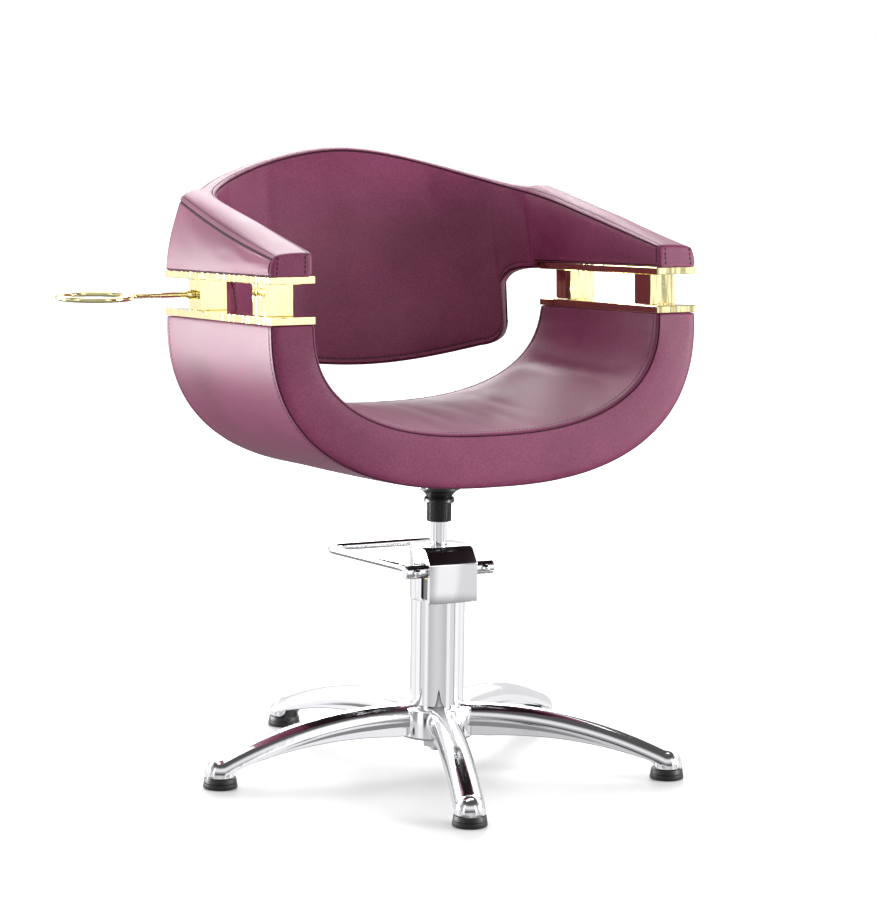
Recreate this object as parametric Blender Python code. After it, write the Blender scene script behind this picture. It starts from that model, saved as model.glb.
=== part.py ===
"""Hairdressing chair: bucket seat and wrap-round back on a hydraulic pump and a five-leg base.

Metres, +Z up.  The sitter faces -Y.  The origin is on the floor at the middle of the chair's box.
"""
import math

import bmesh
import bpy
import numpy as np
from mathutils import Matrix, Vector

# Fits
SEAT_GAP = 0.0003          # between pieces that touch
RUN_GAP = 0.0003           # round a piece that slides or turns

# Star base
LEG_COUNT = 5
LEG_START_DEG = 180.0
LEG_REACH = 0.345          # swivel axis to foot centre
LEG_WIDTH = 0.044
LEG_WEB_WIDTH = 0.031
LEG_CREST_REACH = 0.080    # where a leg is highest
LEG_CREST_HEIGHT = 0.0985
LEG_TIP_HEIGHT = 0.043
LEG_HUB_DEPTH = 0.0465
LEG_TIP_DEPTH = 0.0235
LEG_WALL = 0.006
LEG_RAIL_UNDERCUT = 0.12   # share of the web's depth
LEG_HOLLOW = 0.55          # share of the web's depth
LEG_ROOT_REACH = 0.020
HUB_RADIUS = 0.058
HUB_BOTTOM = 0.048
HUB_TOP = 0.0935
HUB_FLOOR = 0.007
HUB_CHAMFER = 0.004

# Feet
FOOT_DIAMETER = 0.050
FOOT_HEIGHT = 0.0155
FOOT_EDGE = 0.0015
FOOT_BOSS_DIAMETER = 0.032
FOOT_BOSS_HEIGHT = 0.011
FOOT_BOSS_SETBACK = 0.006

# Pump column and hydraulics
COLUMN_DIAMETER = 0.080
COLUMN_WALL = 0.003
COLUMN_DROP = 0.172        # seat pivot down to the tube's top
CYLINDER_BORE = 0.036
CYLINDER_WALL = 0.003
CYLINDER_FLOOR = 0.006
CYLINDER_DROP = 0.2055
STUD_DIAMETER = 0.018
STUD_LENGTH = 0.024
NUT_WIDTH = 0.036
NUT_HEIGHT = 0.014
WASHER_DIAMETER = 0.052
WASHER_THICKNESS = 0.003
ROD_DIAMETER = 0.025
ROD_DROP = 0.0175
ROD_SPIGOT_DIAMETER = 0.016
PISTON_HEIGHT = 0.015
LIFT_DOWN = 0.030          # travel below the photographed height
PISTON_FLOOR_GAP = 0.002
GLAND_WALL = 0.003
GLAND_LIP = 0.0018
GLAND_LIP_HEIGHT = 0.0028

# Pump head inside the cap
HEAD_PLUG_DEPTH = 0.033
HEAD_FLANGE = 0.005
TOWER_WALL = 0.0018
TOWER_DROP = 0.1045
EAR_INNER = 0.0300
EAR_THICKNESS = 0.0062
EAR_DEPTH = 0.025
EAR_ABOVE_SHAFT = 0.0135

# Cap over the pump head
CAP_WIDTH = 0.078
CAP_FRONT = 0.052          # swivel axis to front face
CAP_TOP_DROP = 0.096       # seat pivot down to the cap's top
CAP_HEIGHT = 0.080
CAP_ROUND = 0.020
CAP_WALL = 0.0015
CAP_SLEEVE_WALL = 0.0017
CAP_ROD_CLEARANCE = 0.0015

# Pedal and pump drive
SHAFT_DIAMETER = 0.020
SHAFT_LENGTH = 0.143
SHAFT_FORWARD = 0.034      # swivel axis to shaft axis
SHAFT_DROP = 0.129         # seat pivot down to the shaft axis
SHAFT_CHAMFER = 0.0015
SHAFT_SLOT_CLEARANCE = 0.0008
BUSH_WALL = 0.0019
PEDAL_ROD_DIAMETER = 0.012
PEDAL_ARM_OFFSET = 0.056   # swivel axis to each arm at the shaft
PEDAL_HALF_WIDTH = 0.095   # at the foot bar
PEDAL_REACH = 0.240        # shaft axis to foot bar
PEDAL_STRAIGHT = 0.045
PEDAL_NOSE = 0.0025        # rod end in front of the shaft
PEDAL_BEND = 0.028
FORK_THICKNESS = 0.009
FORK_INNER = 0.0195
FORK_HEIGHT = 0.012
FORK_BOSS_RADIUS = 0.0152
FORK_BOSS_THICKNESS = 0.010
FORK_PIN_DIAMETER = 0.008
FORK_REACH = 0.063         # shaft axis to plunger axis
FORK_KNEE = 0.65           # share of the reach where the arms turn inwards
FORK_INNER_KNEE = 0.75
FORK_NARROWING = 0.0072    # how far each arm turns inwards
PLUNGER_DIAMETER = 0.010
PLUNGER_HEAD_DIAMETER = 0.014
PLUNGER_HEAD_HEIGHT = 0.003
PLUNGER_LENGTH = 0.080
SPRING_WIRE = 0.0014
SPRING_DIAMETER = 0.0136
SPRING_TURNS = 4
SPRING_STEPS = 10          # steps in one turn

# Collar and flange under the seat
COLLAR_DROP = 0.0335       # seat pivot down to the collar's top
COLLAR_HEIGHT = 0.0275
COLLAR_DIAMETER = 0.0364
COLLAR_RIB_DEPTH = 0.001
COLLAR_RIBS = 36
FLANGE_SOCKET_WALL = 0.0030
FLANGE_BEAD_DIAMETER = 0.045
FLANGE_WAIST_DIAMETER = 0.037
FLANGE_DISH_DIAMETER = 0.062
FLANGE_DISH_DROP = 0.0135
FLANGE_BEAD_SHARE = 0.22   # heights as shares of the dish's rise
FLANGE_WAIST_SHARE = 0.45
FLANGE_FLARE_SHARE = 0.72
FLANGE_FLARE_REACH = 0.40  # share of the way from waist to dish

# Seat unit: x across, v to the rear, w up, in a frame that leans back on the column
SEAT_TILT_DEG = 3.0
SEAT_PIVOT_HEIGHT = 0.430
SEAT_FRONT = -0.1724
SEAT_REAR = 0.237
SEAT_REAR_BEVEL = 0.045
SEAT_HALF_WIDTH = 0.3355
SEAT_WALL = 0.066
SEAT_BOTTOM = 0.003
SEAT_WALL_TOP = 0.2427
SEAT_FRONT_TOP = 0.081     # inside of the bucket at the front edge
SEAT_REAR_RISE = 0.019
SEAT_CROWN = 0.012
SEAT_SQUARENESS = 2.5
SEAT_EDGE = 0.006
SEAT_PLATE_SIZE = 0.140
SEAT_PLATE_THICKNESS = 0.004
SEAT_BOARD_SIZE = 0.124
SEAT_BOARD_THICKNESS = 0.018
SEAT_BOLT_SPACING = 0.100
SEAT_BOLT_DIAMETER = 0.008
SEAT_BOLT_HEAD_DIAMETER = 0.014
SEAT_BOLT_HEAD_HEIGHT = 0.0045
SEAT_BOLT_GRIP = 0.012     # thread inside the board

# Gold plates and posts between seat and back
PLATE_THICKNESS = 0.0105
PLATE_EDGE = 0.0008
POST_HEIGHT = 0.045
POST_WIDTH = 0.042
POST_DEPTH = 0.047
POST_INSET = 0.0095        # seat's outer face to a post's outer face
POST_FRONT = -0.1050       # centre of the front post
POST_REAR = 0.1410         # centre of the rear post
TIE_DIAMETER = 0.008
TIE_GRIP = 0.014           # thread inside each rail
RAIL_WIDTH = 0.030
RAIL_FRONT = -0.145
RAIL_REAR = 0.165
SEAT_RAIL_HEIGHT = 0.036
BACK_RAIL_HEIGHT = 0.019

# Back
BACK_ARM_WIDTH = 0.063     # seat's outer face to the inside of the back
BACK_TURN = 0.120          # where the arms start to curve into the back
BACK_DEPTH = 0.2225        # from there to the middle of the back
BACK_SQUARENESS = 2.55
BACK_THICKNESS = 0.027
BACK_LEAN_DEG = 12.7
BACK_TOP = 0.4890
ARM_FRONT_TOP = 0.341
ARM_SLOPE = 0.203
ARM_SLOPE_LENGTH = 0.40
ARM_LEAN_DEG = 9.5
ARM_END = 0.215            # rear end of the wide arm
ARM_END_SWEEP = 0.018
SHIELD_BOTTOM = 0.155
SHIELD_SHOULDER = 0.180    # height of the lower edge near the corners
SHIELD_SIDE_INSET = 0.051  # inside of the back to the shield's side
SHIELD_CORNER = 0.030
SHIELD_FILLET = 0.030
SHIELD_SIDE_SLOPE = 0.0025
SHIELD_SIDE_TURN = 0.06    # radians left for the side between corner and fillet
BACK_LIP = 0.300           # lower edge behind the plates
BACK_EDGE = 0.007
BACK_CROWN = 0.005
ARM_TOP_CROWN = 0.006
ARM_SIDE_CROWN = 0.004

# Dryer holder
HOLDER_WIRE = 0.008
HOLDER_STEM = 0.100
HOLDER_RING = 0.106
HOLDER_OPENING_DEG = 28.0
HOLDER_START_DEG = 16.0
HOLDER_BEND = 0.014
HOLDER_DEPTH = 0.012       # stem inside the post
BOSS_DIAMETER = 0.014
BOSS_LENGTH = 0.012

# Facets
COLUMN_SIDES = 32
ROUND_SIDES = 24
SMALL_SIDES = 12
WIRE_SIDES = 8
FOOT_SIDES = 20
LEG_STEPS = 9
BACK_SECTION_STEPS = (0.3, 0.5, 0.7)
BACK_ROOF_STEPS = (0.4, 0.7)
EDGE_STEP = 0.3            # share of a soft edge where its middle ring lies
CUT_OVERRUN = 0.01         # how far a cutter passes the face it opens

# Derived places
LEG_RUN = LEG_REACH - LEG_CREST_REACH
LEG_FALL = LEG_CREST_HEIGHT - LEG_TIP_HEIGHT
LEG_ARCH_RADIUS = (LEG_RUN ** 2 + LEG_FALL ** 2) / (2 * LEG_FALL)
COLUMN_TOP = SEAT_PIVOT_HEIGHT - COLUMN_DROP
CYLINDER_TOP = SEAT_PIVOT_HEIGHT - CYLINDER_DROP
ROD_TOP = SEAT_PIVOT_HEIGHT - ROD_DROP
TOWER_TOP = SEAT_PIVOT_HEIGHT - TOWER_DROP
CAP_TOP = SEAT_PIVOT_HEIGHT - CAP_TOP_DROP
CAP_BOTTOM = CAP_TOP - CAP_HEIGHT
SHAFT_HEIGHT = SEAT_PIVOT_HEIGHT - SHAFT_DROP
COLLAR_TOP = SEAT_PIVOT_HEIGHT - COLLAR_DROP
COLLAR_BOTTOM = COLLAR_TOP - COLLAR_HEIGHT
FLANGE_DISH_HEIGHT = SEAT_PIVOT_HEIGHT - FLANGE_DISH_DROP
POST_OUTER = SEAT_HALF_WIDTH - POST_INSET
BACK_INNER_HALF_WIDTH = SEAT_HALF_WIDTH - BACK_ARM_WIDTH
SHIELD_HALF_WIDTH = BACK_INNER_HALF_WIDTH - SHIELD_SIDE_INSET
COLUMN_RADIUS = COLUMN_DIAMETER / 2
ROD_RADIUS = ROD_DIAMETER / 2
SHAFT_RADIUS = SHAFT_DIAMETER / 2
FOOT_RADIUS = FOOT_DIAMETER / 2
HUB_LEDGE = HUB_BOTTOM + HUB_FLOOR
CYLINDER_BASE = HUB_LEDGE + SEAT_GAP
CYLINDER_FLOOR_TOP = CYLINDER_BASE + CYLINDER_FLOOR
PISTON_BOTTOM = CYLINDER_FLOOR_TOP + PISTON_FLOOR_GAP + LIFT_DOWN
FLANGE_BASE = COLUMN_TOP + SEAT_GAP
HEAD_TOP = FLANGE_BASE + HEAD_FLANGE
PLUNGER_AXIS = FORK_REACH - SHAFT_FORWARD
PLUNGER_TOP = SHAFT_HEIGHT - FORK_PIN_DIAMETER / 2 - SEAT_GAP
SOCKET_INNER = ROD_RADIUS + SEAT_GAP
SOCKET_OUTER = SOCKET_INNER + FLANGE_SOCKET_WALL
SEAT_TILT = math.radians(SEAT_TILT_DEG)
LOWER_PLATE_BASE = SEAT_WALL_TOP + SEAT_GAP
POST_BASE = LOWER_PLATE_BASE + PLATE_THICKNESS + SEAT_GAP
UPPER_PLATE_BASE = POST_BASE + POST_HEIGHT + SEAT_GAP
BACK_BASE = UPPER_PLATE_BASE + PLATE_THICKNESS + SEAT_GAP
SEAT_INNER_HALF_WIDTH = SEAT_HALF_WIDTH - SEAT_WALL
POST_CENTRE = POST_OUTER - POST_WIDTH / 2
BOARD_BASE = SEAT_BOTTOM
PLATE_TOP = SEAT_BOTTOM - SEAT_GAP
PLATE_UNDERSIDE = PLATE_TOP - SEAT_PLATE_THICKNESS

# The box round the whole chair, from the swivel axis
LEFT_REACH = POST_OUTER + HOLDER_STEM + HOLDER_RING + HOLDER_WIRE / 2
RIGHT_REACH = SEAT_HALF_WIDTH
FRONT_REACH = LEG_REACH * math.sin(math.tau / LEG_COUNT) + FOOT_RADIUS
REAR_REACH = ((BACK_TURN + BACK_DEPTH + BACK_THICKNESS) * math.cos(SEAT_TILT)
              + BACK_TOP * math.sin(SEAT_TILT))
AXIS_X = (LEFT_REACH - RIGHT_REACH) / 2
AXIS_Y = (FRONT_REACH - REAR_REACH) / 2


def clear_scene():
    for obj in list(bpy.data.objects):
        bpy.data.objects.remove(obj, do_unlink=True)


def make_material(name, colour, roughness, metallic):
    material = bpy.data.materials.new(name)
    material.use_nodes = True
    shader = material.node_tree.nodes["Principled BSDF"]
    shader.inputs["Base Color"].default_value = (*colour, 1.0)
    shader.inputs["Roughness"].default_value = roughness
    shader.inputs["Metallic"].default_value = metallic
    return material


def make_materials():
    return {
        "leather": make_material("plum_leather", (0.140, 0.034, 0.070), 0.42, 0.0),
        "gold": make_material("polished_gold", (0.95, 0.78, 0.36), 0.10, 1.0),
        "chrome": make_material("chrome", (0.80, 0.80, 0.82), 0.08, 1.0),
        "aluminium": make_material("polished_aluminium", (0.74, 0.74, 0.76), 0.16, 1.0),
        "black": make_material("black_plastic", (0.012, 0.012, 0.013), 0.45, 0.0),
        "rubber": make_material("black_rubber", (0.016, 0.016, 0.017), 0.70, 0.0),
        "steel": make_material("plain_steel", (0.46, 0.46, 0.48), 0.32, 1.0),
        "iron": make_material("cast_iron", (0.10, 0.10, 0.11), 0.55, 1.0),
        "bronze": make_material("bronze", (0.52, 0.33, 0.14), 0.35, 1.0),
        "ply": make_material("beech_ply", (0.52, 0.36, 0.20), 0.65, 0.0),
    }


def make_frame(name, parent, location=(0, 0, 0), rotation=(0, 0, 0)):
    frame = bpy.data.objects.new(name, None)
    bpy.context.collection.objects.link(frame)
    frame.parent = parent
    frame.location = location
    frame.rotation_euler = rotation
    return frame


def mesh_object(name, bm):
    mesh = bpy.data.meshes.new(name)
    bmesh.ops.recalc_face_normals(bm, faces=bm.faces)
    bm.to_mesh(mesh)
    bm.free()
    obj = bpy.data.objects.new(name, mesh)
    bpy.context.collection.objects.link(obj)
    return obj


def place(obj, material, parent, location=(0, 0, 0), rotation=(0, 0, 0), smooth_deg=35):
    obj.data.materials.clear()
    obj.data.materials.append(material)
    obj.data.shade_smooth()
    obj.data.set_sharp_from_angle(angle=math.radians(smooth_deg))
    obj.parent = parent
    obj.location = location
    obj.rotation_euler = rotation
    return obj


def combine(target, tool, operation):
    """Join, cut or trim the target with a tool object, which is used up."""
    modifier = target.modifiers.new(operation.lower(), "BOOLEAN")
    modifier.object = tool
    modifier.operation = operation
    modifier.solver = "EXACT"
    graph = bpy.context.evaluated_depsgraph_get()
    result = bpy.data.meshes.new_from_object(target.evaluated_get(graph))
    target.modifiers.clear()
    target.data = result
    bpy.data.objects.remove(tool, do_unlink=True)
    return target


def loft(name, rings, strip_caps=False):
    """Skin rings of equal count; the ends are capped with one face, or with a strip for a U ring."""
    bm = bmesh.new()
    rows = [[bm.verts.new(point) for point in ring] for ring in rings]
    count = len(rows[0])
    for lower, upper in zip(rows, rows[1:]):
        for i in range(count):
            j = (i + 1) % count
            bm.faces.new((lower[i], lower[j], upper[j], upper[i]))
    for row in (rows[0], rows[-1]):
        if not strip_caps:
            bm.faces.new(row)
            continue
        for i in range(count // 2 - 1):
            bm.faces.new((row[i], row[i + 1], row[count - 2 - i], row[count - 1 - i]))
    return mesh_object(name, bm)


def revolve(name, profile, sides=ROUND_SIDES, ring=False):
    """Turn a profile of (radius, height) about Z; a ring profile closes on itself off the axis."""
    bm = bmesh.new()
    points = [bm.verts.new((radius, 0.0, height)) for radius, height in profile]
    edges = [bm.edges.new(pair) for pair in zip(points, points[1:])]
    if ring:
        edges.append(bm.edges.new((points[-1], points[0])))
    bmesh.ops.spin(bm, geom=points + edges, axis=(0, 0, 1), cent=(0, 0, 0),
                   angle=math.tau, steps=sides, use_merge=True)
    bmesh.ops.remove_doubles(bm, verts=bm.verts, dist=1e-6)
    return mesh_object(name, bm)


def cylinder(name, radius, low, high, sides=SMALL_SIDES, chamfer=0.0):
    if chamfer:
        profile = [(0.0, high), (radius - chamfer, high), (radius, high - chamfer),
                   (radius, low + chamfer), (radius - chamfer, low), (0.0, low)]
    else:
        profile = [(0.0, high), (radius, high), (radius, low), (0.0, low)]
    return revolve(name, profile, sides)


def tube(name, inner, outer, low, high, sides=ROUND_SIDES):
    return revolve(name, [(inner, high), (outer, high), (outer, low), (inner, low)], sides, ring=True)


def block(name, low, high, edge=0.0):
    bm = bmesh.new()
    size = [b - a for a, b in zip(low, high)]
    centre = [(a + b) / 2 for a, b in zip(low, high)]
    bmesh.ops.create_cube(bm, size=1.0, matrix=Matrix.Translation(centre) @ Matrix.Diagonal((*size, 1.0)))
    if edge:
        bmesh.ops.bevel(bm, geom=bm.edges[:], offset=edge, offset_type="OFFSET", affect="EDGES",
                        segments=1, profile=0.5, material=-1)
    return mesh_object(name, bm)


def prism(name, outline, low, high, edge=0.0):
    """A flat outline in x and y, raised from one height to another."""
    bm = bmesh.new()
    face = bm.faces.new([bm.verts.new((x, y, low)) for x, y in outline])
    raised = bmesh.ops.extrude_face_region(bm, geom=[face])
    top = [item for item in raised["geom"] if isinstance(item, bmesh.types.BMVert)]
    bmesh.ops.translate(bm, verts=top, vec=(0, 0, high - low))
    if edge:
        bmesh.ops.bevel(bm, geom=bm.edges[:], offset=edge, offset_type="OFFSET", affect="EDGES",
                        segments=1, profile=0.5, material=-1)
    return mesh_object(name, bm)


def turned(obj, matrix):
    obj.data.transform(matrix)
    return obj


def along_x(obj, centre=(0.0, 0.0, 0.0)):
    """Lay a piece turned about Z along X instead, through a centre point."""
    return turned(obj, Matrix.Translation(centre) @ Matrix.Rotation(math.pi / 2, 4, "Y"))


def along_y(obj, centre=(0.0, 0.0, 0.0)):
    return turned(obj, Matrix.Translation(centre) @ Matrix.Rotation(math.pi / 2, 4, "X"))


def rounded_path(corners, radius, steps=6):
    """A path through corner points, with each inner corner replaced by a bend."""
    corners = [Vector(corner) for corner in corners]
    path = [corners[0]]
    for before, corner, after in zip(corners, corners[1:], corners[2:]):
        back = (before - corner).normalized()
        ahead = (after - corner).normalized()
        reach = radius / math.tan(back.angle(ahead) / 2)
        start = corner + back * reach
        end = corner + ahead * reach
        for step in range(steps + 1):
            t = step / steps
            path.append(start * (1 - t) ** 2 + corner * 2 * t * (1 - t) + end * t ** 2)
    return path + [corners[-1]]


def sweep(name, path, radius, sides=WIRE_SIDES):
    """A round wire along a path, with its section carried along without twist."""
    path = [Vector(point) for point in path]
    side = None
    rings = []
    for i, point in enumerate(path):
        ahead = (path[min(i + 1, len(path) - 1)] - path[max(i - 1, 0)]).normalized()
        if side is None:
            side = ahead.orthogonal().normalized()
        side = (side - ahead * side.dot(ahead)).normalized()
        other = ahead.cross(side)
        angles = [math.tau * k / sides for k in range(sides)]
        rings.append([point + radius * (side * math.cos(a) + other * math.sin(a)) for a in angles])
    return loft(name, rings)


# Star base and feet
def leg_top(reach):
    run = reach - LEG_CREST_REACH
    return LEG_CREST_HEIGHT - LEG_ARCH_RADIUS + math.sqrt(LEG_ARCH_RADIUS ** 2 - run ** 2)


def leg_depth(reach):
    share = max(0.0, (reach - LEG_CREST_REACH) / LEG_RUN)
    return LEG_HUB_DEPTH + (LEG_TIP_DEPTH - LEG_HUB_DEPTH) * share


def leg_section(reach, shrink=0.0):
    """Half-round rail over a narrower web, which is hollow underneath."""
    half = LEG_WIDTH / 2 - shrink
    top = leg_top(reach) - shrink
    rail = top - half
    web = top - leg_depth(reach) + shrink
    drop = rail - web
    arc = [math.pi * k / 6 for k in range(7)]
    points = [(half * math.cos(a), rail + half * math.sin(a)) for a in arc]
    web_half = LEG_WEB_WIDTH / 2
    hollow = web_half - LEG_WALL
    left = [(-web_half, rail - LEG_RAIL_UNDERCUT * drop), (-web_half, web),
            (-hollow, web), (-hollow, web + LEG_HOLLOW * drop)]
    right = [(-y, z) for y, z in reversed(left)]
    return [Vector((reach, y, z)) for y, z in points + left + right]


def make_leg():
    step = (LEG_REACH - LEG_ROOT_REACH) / LEG_STEPS
    rings = [leg_section(LEG_ROOT_REACH + step * k) for k in range(LEG_STEPS)]
    rings.append(leg_section(LEG_REACH, shrink=SEAT_GAP))
    leg = loft("leg", rings)
    half = LEG_WIDTH / 2
    rail = leg_top(LEG_REACH) - half
    dome = [(half * math.sin(a), rail + half * math.cos(a)) for a in np.linspace(0, math.pi / 2, 5)]
    base = FOOT_HEIGHT + SEAT_GAP
    tip = revolve("tip", dome + [(half, base), (0.0, base)], FOOT_SIDES)
    leg = combine(leg, turned(tip, Matrix.Translation((LEG_REACH, 0, 0))), "UNION")
    pocket = cylinder("pocket", FOOT_BOSS_DIAMETER / 2 + SEAT_GAP, 0.0,
                      FOOT_HEIGHT + FOOT_BOSS_HEIGHT + SEAT_GAP, FOOT_SIDES)
    turned(pocket, Matrix.Translation((LEG_REACH - FOOT_BOSS_SETBACK, 0, 0)))
    return combine(leg, pocket, "DIFFERENCE")


def leg_angles():
    return [math.radians(LEG_START_DEG) + math.tau * k / LEG_COUNT for k in range(LEG_COUNT)]


def make_base(parts, frame):
    hub = cylinder("star_base", HUB_RADIUS, HUB_BOTTOM, HUB_TOP, ROUND_SIDES, HUB_CHAMFER)
    leg = make_leg()
    for angle in leg_angles():
        copy = bpy.data.objects.new("leg_copy", leg.data.copy())
        bpy.context.collection.objects.link(copy)
        combine(hub, turned(copy, Matrix.Rotation(angle, 4, "Z")), "UNION")
    bpy.data.objects.remove(leg, do_unlink=True)
    bore_top = LEG_CREST_HEIGHT + CUT_OVERRUN
    bore = cylinder("bore", COLUMN_RADIUS + SEAT_GAP, HUB_LEDGE, bore_top, COLUMN_SIDES)
    combine(hub, bore, "DIFFERENCE")
    stud_hole = cylinder("stud_hole", STUD_DIAMETER / 2 + SEAT_GAP, HUB_BOTTOM - CUT_OVERRUN,
                         HUB_LEDGE + CUT_OVERRUN, ROUND_SIDES)
    combine(hub, stud_hole, "DIFFERENCE")
    place(hub, parts["aluminium"], frame)


def make_feet(parts, frame):
    edge = FOOT_EDGE
    profile = [(0.0, FOOT_HEIGHT), (FOOT_RADIUS - 2 * edge, FOOT_HEIGHT),
               (FOOT_RADIUS - edge, FOOT_HEIGHT - edge), (FOOT_RADIUS, edge),
               (FOOT_RADIUS - edge, 0.0), (0.0, 0.0)]
    foot = revolve("foot", profile, FOOT_SIDES)
    boss = cylinder("foot_boss", FOOT_BOSS_DIAMETER / 2, FOOT_HEIGHT / 2,
                    FOOT_HEIGHT + FOOT_BOSS_HEIGHT, FOOT_SIDES)
    combine(foot, turned(boss, Matrix.Translation((-FOOT_BOSS_SETBACK, 0, 0))), "UNION")
    for number, angle in enumerate(leg_angles(), 1):
        obj = bpy.data.objects.new(f"foot_{number}", foot.data)
        bpy.context.collection.objects.link(obj)
        where = (LEG_REACH * math.cos(angle), LEG_REACH * math.sin(angle), 0.0)
        place(obj, parts["rubber"], frame, where, (0, 0, angle))
    bpy.data.objects.remove(foot, do_unlink=True)


# Column, hydraulics and pump head
def make_column(parts, frame):
    column = tube("pump_column", COLUMN_RADIUS - COLUMN_WALL, COLUMN_RADIUS,
                  CYLINDER_BASE, COLUMN_TOP, COLUMN_SIDES)
    place(column, parts["chrome"], frame)
    bore = CYLINDER_BORE / 2
    outer = bore + CYLINDER_WALL
    stud = STUD_DIAMETER / 2
    stud_end = HUB_BOTTOM - STUD_LENGTH
    profile = [(0.0, CYLINDER_FLOOR_TOP), (bore, CYLINDER_FLOOR_TOP), (bore, CYLINDER_TOP),
               (outer, CYLINDER_TOP), (outer, CYLINDER_BASE), (stud, CYLINDER_BASE),
               (stud, stud_end), (0.0, stud_end)]
    place(revolve("pump_cylinder", profile), parts["steel"], frame)
    hole = stud + SEAT_GAP
    top = HUB_BOTTOM - SEAT_GAP
    washer = tube("clamp_washer", hole, WASHER_DIAMETER / 2, top - WASHER_THICKNESS, top)
    place(washer, parts["steel"], frame)
    nut_top = top - WASHER_THICKNESS - SEAT_GAP
    corner = NUT_WIDTH / math.sqrt(3)
    turns = [math.tau * k / 6 for k in range(6)]
    hexagon = [(corner * math.cos(a), corner * math.sin(a)) for a in turns]
    nut = prism("clamp_nut", hexagon, nut_top - NUT_HEIGHT, nut_top)
    nut_hole = cylinder("nut_hole", hole, nut_top - 2 * NUT_HEIGHT, nut_top + NUT_HEIGHT, ROUND_SIDES)
    combine(nut, nut_hole, "DIFFERENCE")
    place(nut, parts["steel"], frame)


def make_piston(parts, frame):
    shoulder = PISTON_BOTTOM + PISTON_HEIGHT + SEAT_GAP
    spigot = ROD_SPIGOT_DIAMETER / 2
    profile = [(0.0, ROD_TOP), (ROD_RADIUS - SHAFT_CHAMFER, ROD_TOP),
               (ROD_RADIUS, ROD_TOP - SHAFT_CHAMFER), (ROD_RADIUS, shoulder), (spigot, shoulder),
               (spigot, PISTON_BOTTOM), (0.0, PISTON_BOTTOM)]
    place(revolve("piston_rod", profile), parts["chrome"], frame)
    piston = tube("piston_head", spigot + SEAT_GAP, CYLINDER_BORE / 2 - RUN_GAP,
                  PISTON_BOTTOM, PISTON_BOTTOM + PISTON_HEIGHT)
    place(piston, parts["bronze"], frame)


def make_pump_head(parts, frame):
    guide = ROD_RADIUS + RUN_GAP
    gland_outer = guide + GLAND_WALL
    pocket = gland_outer + SEAT_GAP
    tower = pocket + TOWER_WALL
    plug = COLUMN_RADIUS - COLUMN_WALL - SEAT_GAP
    flange = COLUMN_RADIUS - SEAT_GAP
    plug_bottom = FLANGE_BASE - HEAD_PLUG_DEPTH
    profile = [(pocket, TOWER_TOP), (tower, TOWER_TOP), (tower, HEAD_TOP), (flange, HEAD_TOP),
               (flange, FLANGE_BASE), (plug, FLANGE_BASE), (plug, plug_bottom), (guide, plug_bottom),
               (guide, FLANGE_BASE), (pocket, FLANGE_BASE)]
    head = revolve("pump_head", profile, ring=True)
    ear_outer = EAR_INNER + EAR_THICKNESS
    front = -SHAFT_FORWARD - EAR_DEPTH / 2
    rear = -SHAFT_FORWARD + EAR_DEPTH / 2
    shelf = block("shelf", (-ear_outer, front, FLANGE_BASE), (ear_outer, rear, HEAD_TOP))
    combine(head, shelf, "UNION")
    for side in (-1, 1):
        low = min(side * EAR_INNER, side * ear_outer)
        ear = block("ear", (low, front, FLANGE_BASE + HEAD_FLANGE / 2),
                    (low + EAR_THICKNESS, rear, SHAFT_HEIGHT + EAR_ABOVE_SHAFT))
        combine(head, ear, "UNION")
    bush_outer = SHAFT_RADIUS + RUN_GAP + BUSH_WALL
    cross = cylinder("cross_hole", bush_outer + SEAT_GAP, -CAP_WIDTH, CAP_WIDTH, ROUND_SIDES)
    combine(head, along_x(cross, (0, -SHAFT_FORWARD, SHAFT_HEIGHT)), "DIFFERENCE")
    plunger_hole = cylinder("plunger_hole", PLUNGER_DIAMETER / 2 + RUN_GAP,
                            plug_bottom - CUT_OVERRUN, HEAD_TOP + CUT_OVERRUN)
    combine(head, turned(plunger_hole, Matrix.Translation((0, PLUNGER_AXIS, 0))), "DIFFERENCE")
    place(head, parts["iron"], frame)
    lip_base = TOWER_TOP + SEAT_GAP
    lip = gland_outer + GLAND_LIP
    lip_top = lip_base + GLAND_LIP_HEIGHT
    gland = [(guide, lip_top), (lip, lip_top), (lip, lip_base), (gland_outer, lip_base),
             (gland_outer, FLANGE_BASE + SEAT_GAP), (guide, FLANGE_BASE + SEAT_GAP)]
    place(revolve("gland_bush", gland, ring=True), parts["bronze"], frame)
    for side, label in ((-1, "left"), (1, "right")):
        bush = tube(f"shaft_bush_{label}", SHAFT_RADIUS + RUN_GAP, bush_outer,
                    -EAR_THICKNESS / 2, EAR_THICKNESS / 2)
        centre = (side * (EAR_INNER + EAR_THICKNESS / 2), -SHAFT_FORWARD, SHAFT_HEIGHT)
        place(along_x(bush, centre), parts["bronze"], frame)


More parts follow.
